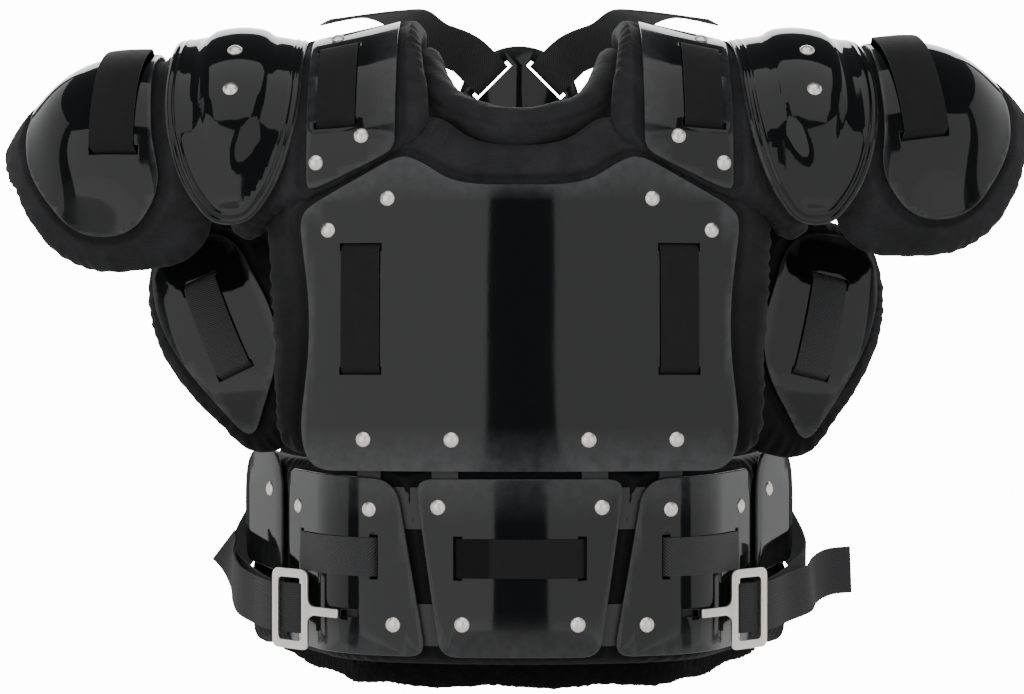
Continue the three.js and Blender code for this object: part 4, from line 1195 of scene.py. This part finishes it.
def roll_frames(path):
    """The direction of a path, the way towards the neck, and the way up at each of its places."""
    along = np.gradient(path[:, :3], axis=0)
    along /= np.linalg.norm(along, axis=1, keepdims=True)
    inward = NECK_MIDDLE - path[:, :3]
    inward -= along * np.sum(inward * along, axis=1, keepdims=True)
    inward /= np.linalg.norm(inward, axis=1, keepdims=True)
    return along, inward, np.cross(along, inward)


def roll_tube(name, path, slack):
    along, inward, upward = roll_frames(path)
    piece, across, walk = flat_grid(name, 24, len(path) - 1)
    step = np.rint(walk * (len(path) - 1)).astype(int)
    from_end = np.minimum(step, len(path) - 1 - step) * COLLAR_ROLL["step"]
    dome = np.sqrt(np.clip(1 - np.clip(1 - from_end / COLLAR_ROLL["end"], 0, 1) ** 2, 0.04, 1))
    radius = path[step, 3] * slack * dome
    turn = across * math.pi
    tube = path[step, :3].T + radius * (np.cos(turn) * inward[step].T + np.sin(turn) * upward[step].T)
    move_to(piece, tube)
    only(piece)
    bpy.ops.object.mode_set(mode="EDIT")
    bpy.ops.mesh.select_all(action="SELECT")
    bpy.ops.mesh.remove_doubles(threshold=0.0002)
    bpy.ops.mesh.select_all(action="DESELECT")
    bpy.ops.mesh.select_mode(type="EDGE")
    bpy.ops.mesh.select_non_manifold()
    bpy.ops.mesh.edge_face_add()
    bpy.ops.mesh.select_all(action="SELECT")
    bpy.ops.mesh.normals_make_consistent(inside=False)
    bpy.ops.object.mode_set(mode="OBJECT")
    return piece


def pinch_roll(piece, path):
    """Draws short pinches in along the neck side of the roll, and one sewn line along its underside."""
    along, inward, upward = roll_frames(path)
    points = coordinates(piece).T
    step = np.array([np.argmin(np.sum((path[:, :3] - p) ** 2, axis=1)) for p in points])
    out = points - path[step, :3]
    out /= np.linalg.norm(out, axis=1, keepdims=True)
    turn = np.arctan2(np.sum(out * upward[step], axis=1), np.sum(out * inward[step], axis=1))
    walked = step * COLLAR_ROLL["step"] + np.sum((points - path[step, :3]) * along[step], axis=1)
    phase = walked / COLLAR_ROLL["pinch_every"] * 2 * math.pi
    phase += 1.3 * np.sin(walked * 71) + 0.5 * np.sin(walked * 173)
    neck_side = np.exp(-((turn - 0.2) / 0.9) ** 2)
    drawn = COLLAR_ROLL["pinch"] * neck_side * np.clip(np.sin(phase), -0.4, 1)
    drawn += 0.0005 * np.sin(walked * 140 + 3 * turn) * np.sin(2 * turn + walked * 60)
    drawn += COLLAR_ROLL["seam"] * np.exp(-((np.abs(turn) - 2.6) / 0.09) ** 2)
    move_to(piece, (points - out * drawn[:, None]).T)


collar = roll_tube("collar_cushion", collar_path, COLLAR_ROLL["slack"])
apply_modifier(collar, "REMESH", mode="VOXEL", voxel_size=COLLAR_ROLL["voxel"])
inflate(collar, 3.0)
apply_modifier(collar, "SMOOTH", factor=0.5, iterations=2)
apply_modifier(collar, "SUBSURF", levels=1, render_levels=1)
pinch_roll(collar, collar_path)
only(collar)
bpy.ops.object.shade_smooth()
dress(collar, NYLON, "pad_fabric", "collar_roll")

# %% [markdown]
# ## Lining
# A fleecy lining hangs behind the belly pad and shows below it as a soft, wavy hem. It is a flat sheet with
# a waved edge, remeshed finely and roughened with noise, and then bent round the belly like the pad.

# %% Belly lining
LINING = {"half": 0.286, "top": -0.292, "bottom": -0.421, "wave": 0.0012, "waves": 7, "rise": 0.006,
          "lifts": (-0.0242, -0.0192), "voxel": 0.0022}
TUFTS = {"size": 0.0035, "height": 0.0011}


def lining_contour():
    turn = np.linspace(0, 1, LINING["waves"] * 16 + 1)
    s = LINING["half"] * (2 * turn - 1)
    hem = LINING["bottom"] + LINING["wave"] * np.sin(turn * LINING["waves"] * 2 * math.pi)
    hem += LINING["rise"] * (s / LINING["half"]) ** 4
    top = [(LINING["half"], LINING["top"]), (-LINING["half"], LINING["top"])]
    return np.vstack([np.stack([s, hem], axis=1), top])


def roughen(piece, size, height):
    points = coordinates(piece)
    shift = [[noise.noise(Vector(p / size) + Vector((0, 0, 17 * k))) for p in points.T] for k in range(3)]
    move_to(piece, points + height * np.array(shift))


lining = flat_plate("belly_fleece", lining_contour(), LINING["lifts"])
apply_modifier(lining, "REMESH", mode="VOXEL", voxel_size=LINING["voxel"])
roughen(lining, TUFTS["size"], TUFTS["height"])
bend(lining, belly_place)
only(lining)
bpy.ops.object.shade_smooth()
dress(lining, FLEECE, "lining_fleece", "belly_lining")

# %% [markdown]
# ## Loops of webbing
# Each plate is held by a loop that comes up through one slot and goes down through the next. Cloth could be
# draped over the plate, but webbing is stiff and pulled tight, so a grid laid flat along the slots is
# simply raised over the plate between them and pushed under it beyond them. The grid keeps its flat sizes
# as UVs, and the weave follows.

# %% Loop helper
LOOP = {"width": 0.026, "thickness": 0.0012, "under": 0.002, "over": 0.0072, "reach": 0.0024, "tail": 0.013}
LOOP_BULGE = 0.0007


def set_band_uv(piece, width, length):
    """Turns the grid's own UVs into metres across and along."""
    layer = piece.data.uv_layers.active.data
    flat = np.empty(2 * len(layer))
    layer.foreach_get("uv", flat)
    layer.foreach_set("uv", (flat.reshape(-1, 2) * (width, length)).ravel())


def finish_band(piece, width, length, thickness, material, held, rests_on, *nodes):
    set_band_uv(piece, width, length)
    apply_modifier(piece, "SOLIDIFY", thickness=thickness, offset=0)
    only(piece)
    bpy.ops.object.shade_smooth_by_angle(angle=math.radians(40))
    dress(piece, material, "webbing", *nodes)


def loop_band(name, place, start, end, sign, rise=0.0):
    """A loop between two slots of a panel, bent onto it: the piece, its width and its length."""
    start, along = np.array(start), np.subtract(end, start)
    run = np.linalg.norm(along)
    along /= run
    whole = run + 2 * LOOP["tail"]
    piece, across, walk = flat_grid(name, 8, round(whole / 0.0014))
    t = walk * whole - LOOP["tail"]
    a = across * LOOP["width"] / 2
    under, over = LOOP["under"] - rise / 2, LOOP["over"] + rise
    reach = LOOP["reach"]
    above = smooth((t + reach) / (2 * reach)) * smooth((run + reach - t) / (2 * reach))
    bulge = LOOP_BULGE * np.sin(math.pi * np.clip(t / run, 0, 1)) * (1 - 0.5 * across ** 2)
    u, v = start[0] + along[0] * t - along[1] * a, start[1] + along[1] * t + along[0] * a
    move_to(piece, (u, v, under + (over - under) * above + bulge))
    bend(piece, place, sign)
    lines = []
    for at in (-1, 0, 1):
        on_line = np.abs(across - at) < 1e-6
        lines.append(coordinates(piece)[:, on_line][:, np.argsort(walk[on_line])])
    width = np.mean(np.linalg.norm(lines[2] - lines[0], axis=0))
    return piece, float(width), float(np.sum(np.linalg.norm(np.diff(lines[1], axis=1), axis=0)))


def add_loop(name, place, start, end, sign, material, on, node, rise=0.0):
    piece, width, length = loop_band(name, place, start, end, sign, rise)
    finish_band(piece, width, length, LOOP["thickness"], material, "stretched", [on], node)


print("loop helper ready")

# %% Loops in place
belly_z, center = BELLY_LOOP["z"], BELLY_LOOP["center"]
add_loop("belly_band_center", belly_place, (-center, belly_z), (center, belly_z), 1, FINE_BAND,
         "belly_shell_center", "belly_loop_center")
for side, sign in SIDES.items():
    add_loop(f"chest_band_{side}", chest_place, (CHEST_LOOP["s"], CHEST_LOOP["low"]),
             (CHEST_LOOP["s"], CHEST_LOOP["high"]), sign, VELVET, "chest_shell", f"chest_loop_{side}")
    add_loop(f"belly_band_{side}", belly_place, (BELLY_LOOP["from"], belly_z), (BELLY_LOOP["to"], belly_z),
             sign, TWILL, f"belly_shell_{side}", f"belly_loop_{side}")
    add_loop(f"collarbone_band_{side}", yoke_place, (COLLARBONE_LOOP["x"], COLLARBONE_LOOP["low"]),
             (COLLARBONE_LOOP["x"], COLLARBONE_LOOP["high"]), sign, VELVET, f"collarbone_shell_{side}",
             f"collarbone_loop_{side}")
    add_loop(f"arm_band_{side}", on_arm(side, arm_plate_place), ARM_LOOP["low"], ARM_LOOP["high"], sign,
             VELVET, f"arm_shell_{side}", f"arm_loop_{side}", ARM_LOOP["rise"])
    add_loop(f"rib_band_{side}", rib_place(side), (RIB_LOOP["u"], RIB_LOOP["low"]),
             (RIB_LOOP["u"], RIB_LOOP["high"]), sign, TWILL, f"rib_shell_{side}", f"rib_loop_{side}")

# %% [markdown]
# ## Back disc and hooks
# The disc is a plate like the others, with four slots on its diagonals. The hooks are stamped: an outline
# with a window cut out of it, bevelled, and a keeper bar on two posts behind the window for the strap to
# fold round.

# %% Back disc
DISC = {"y": 0.114, "z": -0.008, "radius": 0.0465, "half_thick": 0.0015, "slot_at": 0.029,
        "slot": (0.037, 0.0054), "bevel": 0.0006}


def disc_place(u, v, lift):
    return u, DISC["y"] - lift, v + DISC["z"]


disc_turn = np.linspace(0, 2 * math.pi, 72, endpoint=False)
disc_contour = DISC["radius"] * np.stack([np.cos(disc_turn), np.sin(disc_turn)], axis=1)
disc_slots = []
for quarter in (45, 135, 225, 315):
    turn = math.radians(quarter)
    at = (DISC["slot_at"] * math.cos(turn), DISC["slot_at"] * math.sin(turn))
    disc_slots.append((*at, turn + UPRIGHT, DISC["slot"]))
disc_lifts = (-DISC["half_thick"], DISC["half_thick"])
disc = flat_shell("back_disc_shell", disc_contour, (0, 0), disc_slots, disc_lifts, DISC["bevel"])
finish_shell(disc, disc_place, 1, "back_disc")

# %% Hooks
HOOK = {"s": 0.121, "z": -0.371, "lift": 0.010, "turn": 45, "thickness": 0.0024, "bevel": 0.0007}
HOOK_OUTLINE = [
    (68, -27.5, 6), (68, 27.5, 6), (31, 27.5, 6), (31, 6, 4), (26, 3, 3), (0, 3, 0),
    (0, -3, 0), (26, -3, 3), (31, -6, 4), (31, -27.5, 6),
]
HOOK_WINDOW = [(62, -21.5, 4), (62, 21.5, 4), (37, 21.5, 4), (37, -21.5, 4)]
KEEPER = {"at": 0.046, "back": 0.0056, "radius": 0.0012, "length": 0.049, "post": 0.004}

hook_root = Vector([float(c[0]) for c in belly_place(*np.array([[HOOK["s"]], [HOOK["z"]], [HOOK["lift"]]]))])
HOOK_MATRIX = Matrix.Translation(hook_root) @ Matrix.Rotation(math.radians(HOOK["turn"]), 4, "Z")


def hook_place(u, v, lift):
    """A hook lies along its own first axis, with its face outwards."""
    x, y, z, _ = np.array(HOOK_MATRIX) @ np.array([u, -lift, v, np.ones_like(u)])
    return x, y, z


def keeper_bar():
    """A round bar between two square posts, in the hook's flat coordinates."""
    made = []
    bpy.ops.object.select_all(action="DESELECT")
    bpy.ops.mesh.primitive_cylinder_add(vertices=16, radius=KEEPER["radius"], depth=KEEPER["length"],
                                        location=(KEEPER["at"], 0, -KEEPER["back"]), rotation=(UPRIGHT, 0, 0))
    made.append(bpy.context.object)
    depth = KEEPER["back"] + KEEPER["radius"] + HOOK["thickness"] / 2
    for way in (1, -1):
        at = (KEEPER["at"], way * KEEPER["length"] / 2, HOOK["thickness"] / 2 - depth / 2)
        bpy.ops.mesh.primitive_cube_add(size=1, location=at)
        made.append(bpy.context.object)
        made[-1].scale = (KEEPER["post"], KEEPER["post"], depth)
    for piece in made:
        piece.select_set(True)
    bpy.ops.object.transform_apply(location=True, rotation=True, scale=True)
    return made


def flat_hook():
    hook = flat_plate("hook_flat", rounded(HOOK_OUTLINE, 0.0012), (0.0, HOOK["thickness"]))
    window = flat_plate("hook_window", rounded(HOOK_WINDOW, 0.0012), (-0.01, 0.01))
    apply_modifier(hook, "BOOLEAN", operation="DIFFERENCE", object=window, solver="EXACT")
    remove(window)
    bars = keeper_bar()
    only(hook)
    for bar in bars:
        bar.select_set(True)
    bpy.ops.object.join()
    apply_modifier(hook, "BEVEL", width=HOOK["bevel"], segments=3, limit_method="ANGLE",
                   angle_limit=BEVEL_ANGLE)
    return hook


hook_flat = flat_hook()
for side, sign in SIDES.items():
    hook = own_copy(hook_flat, f"hook_{side}")
    bend(hook, hook_place, sign)
    only(hook)
    bpy.ops.object.shade_smooth_by_angle(angle=PLATE_SMOOTH)
    dress(hook, NICKEL, "nickel", f"t_hook_{side}")
remove(hook_flat)

# %% [markdown]
# ## Harness
# Two straps run from the disc over the shoulders and two run down the back, round the waist and through the
# hooks. Each is a band along a path through measured rows. A row may say which way the band faces there;
# where it doesn't, the band stands upright. The bands keep their edges the same way round, so that they
# never flip.

# %% Straps
STRAP = {"shoulder": 0.032, "waist": 0.034, "thickness": 0.0013, "spacing": 0.0016}
SHOULDER_ROWS = [
    (64, 92, 40, 0.3, 0.8, 0.5), (82, 62, 52, 0.2, 0.4, 0.9), (100, 32, 52, 0, 0.1, 1),
    (122, 14, 47, 0, 0, 1), (140, 8, 43, 0, 0, 1),
]
WAIST_ROWS = [
    (76, 118, -112), (132, 114, -212), (182, 96, -304), (204, 68, -338), (210, 42, -352), (199, 12, -362),
]
TAIL_ROWS = {
    "right": [(190, -26, -368), (207, -6, -364), (214, 14, -359), (226, 30, -355), (243, 40, -354)],
    "left": [
        (188, -26, -369), (200, -6, -365), (206, 12, -359), (209, 28, -352), (212, 38, -344), (217, 43, -336),
    ],
}


def disc_fold(up):
    """Rows of a strap folded through one slot of the disc, from its sewn end behind to its front layer."""
    layer, slot, far = 2.8, DISC["slot_at"] / MM, DISC["radius"] / MM + 8
    steps = [
        (far, 1), (slot + 4, 1), (slot + 0.4, 0.7), (slot - 0.6, 0), (slot + 0.4, -0.7), (slot + 4, -1),
        (far, -1),
    ]
    slope = math.sqrt(0.5)
    places = np.array([
        (reach * slope, DISC["y"] / MM + depth * layer, DISC["z"] / MM + up * reach * slope)
        for reach, depth in steps
    ])
    outs = np.cross(np.gradient(places, axis=0), (-up * slope, 0, slope))
    return [(*place, *out) for place, out in zip(places, outs)]


def hook_fold(bend_radius=2.5, lead=30):
    """Rows of a strap folded round the keeper bar."""
    at, back = KEEPER["at"] / MM, KEEPER["back"] / MM
    turns = [math.radians(angle) for angle in (90, 135, 180, 225, 270)]
    flat = [(at + lead, back + bend_radius)]
    flat += [(at + bend_radius * math.cos(turn), back + bend_radius * math.sin(turn)) for turn in turns]
    flat.append((at + lead, back - bend_radius))
    return [tuple(HOOK_MATRIX @ Vector((along * MM, inward * MM, 0)) / MM) for along, inward in flat]


def strap_table(rows):
    """Rows in millimetres as rows of place and direction across, in metres."""
    places = np.array([row[:3] for row in rows]) * MM
    table, edge = [], None
    for i, row in enumerate(rows):
        along = places[min(i + 1, len(rows) - 1)] - places[max(i - 1, 0)]
        across = np.cross(along, row[3:] if len(row) > 3 else (-along[1], along[0], 0))
        across /= np.linalg.norm(across)
        if edge is not None and across @ edge < 0:
            across = -across
        edge = across
        table.append([*places[i], *across])
    return table


def add_strap(name, rows, width, thickness, sign, material, held, rests_on, node, spacing=0.004):
    path = through(strap_table(rows), spacing)
    place, across = path[:, :3], path[:, 3:]
    along = np.gradient(place, axis=0)
    across = across - along * (np.sum(across * along, axis=1) / np.sum(along * along, axis=1))[:, None]
    across /= np.linalg.norm(across, axis=1, keepdims=True)
    piece, edge, walk = flat_grid(name, 8, len(path) - 1)
    step = np.rint(walk * (len(path) - 1)).astype(int)
    move_to(piece, place[step].T + across[step].T * edge * width / 2)
    mirror(piece, sign)
    length = float(np.sum(np.linalg.norm(np.diff(place, axis=0), axis=1)))
    finish_band(piece, width, length, thickness, material, held, rests_on, node)


for side, sign in SIDES.items():
    shoulder_rows = disc_fold(1) + SHOULDER_ROWS
    add_strap(f"shoulder_webbing_{side}", shoulder_rows, STRAP["shoulder"], STRAP["thickness"], sign, TWILL,
              "stretched", ["back_disc_shell", f"shoulder_cushion_{side}"], f"shoulder_strap_{side}",
              STRAP["spacing"])
    waist_rows = disc_fold(-1) + WAIST_ROWS + hook_fold() + TAIL_ROWS[side]
    add_strap(f"waist_elastic_{side}", waist_rows, STRAP["waist"], STRAP["thickness"], sign, ELASTIC, "hung",
              ["back_disc_shell", f"hook_{side}"], f"waist_strap_{side}", STRAP["spacing"])

# %% [markdown]
# Short tabs, hidden from the front, tie the arm cups to the shoulder pads and the rib guards to the chest
# pad.

# %% Tabs
ARM_TAB_ROWS = [(172, -5, 18.8, 0, 0, 1), (197, -5, 18.2, 0, 0, 1), (222, -5, 21, 0, 0, 1)]
RIB_TAB = {"v": -0.004, "lift": 0.0011, "under": (-0.046, -0.029), "chest_at": (0.148, 0.160),
           "behind": -0.025}
TAB = {"arm": 0.056, "rib": 0.030, "thickness": 0.0012}


def row_at(place, u, v, lift):
    return tuple(float(c[0]) / MM for c in place(np.array([u]), np.array([v]), np.array([lift])))


for side, sign in SIDES.items():
    rib_rows = [row_at(rib_place(side), u, RIB_TAB["v"], RIB_TAB["lift"]) for u in RIB_TAB["under"]]
    level = rib_rows[0][2] * MM
    chest_rows = [row_at(chest_place, s, level, RIB_TAB["behind"]) for s in RIB_TAB["chest_at"]]
    add_strap(f"rib_tie_{side}", chest_rows + rib_rows, TAB["rib"], TAB["thickness"], sign, TWILL,
              "stretched", ["chest_cushion", f"rib_cushion_{side}"], f"rib_tab_{side}")
    add_strap(f"arm_tie_{side}", ARM_TAB_ROWS, TAB["arm"], TAB["thickness"], sign, TWILL, "stretched",
              [f"shoulder_cushion_{side}", f"arm_cushion_{side}"], f"arm_tab_{side}")

# %% [markdown]
# ## Strips
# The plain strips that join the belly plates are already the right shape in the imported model. They stay as
# they are and only take their finish.

# %% Strips take their finish
strips = [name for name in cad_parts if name.startswith(("link_strip", "hanger_strip"))]
for name in strips:
    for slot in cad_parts[name].material_slots:
        slot.material = STRIP
print("strips:", ", ".join(sorted(strips)))

# %% [markdown]
# ## Sizes
# The box of the dressed model is compared with that of the imported one, and how far it stands proud on
# each side is printed. The dressed model has to stay within the imported one, apart from a little that fabric
# may stand proud.

# %% Sizes and finish
visual_box = [list(corner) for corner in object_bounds()]
proud = np.subtract(visual_box, cad_box) / MM
print("proud by", proud.round(1).tolist(), "mm")
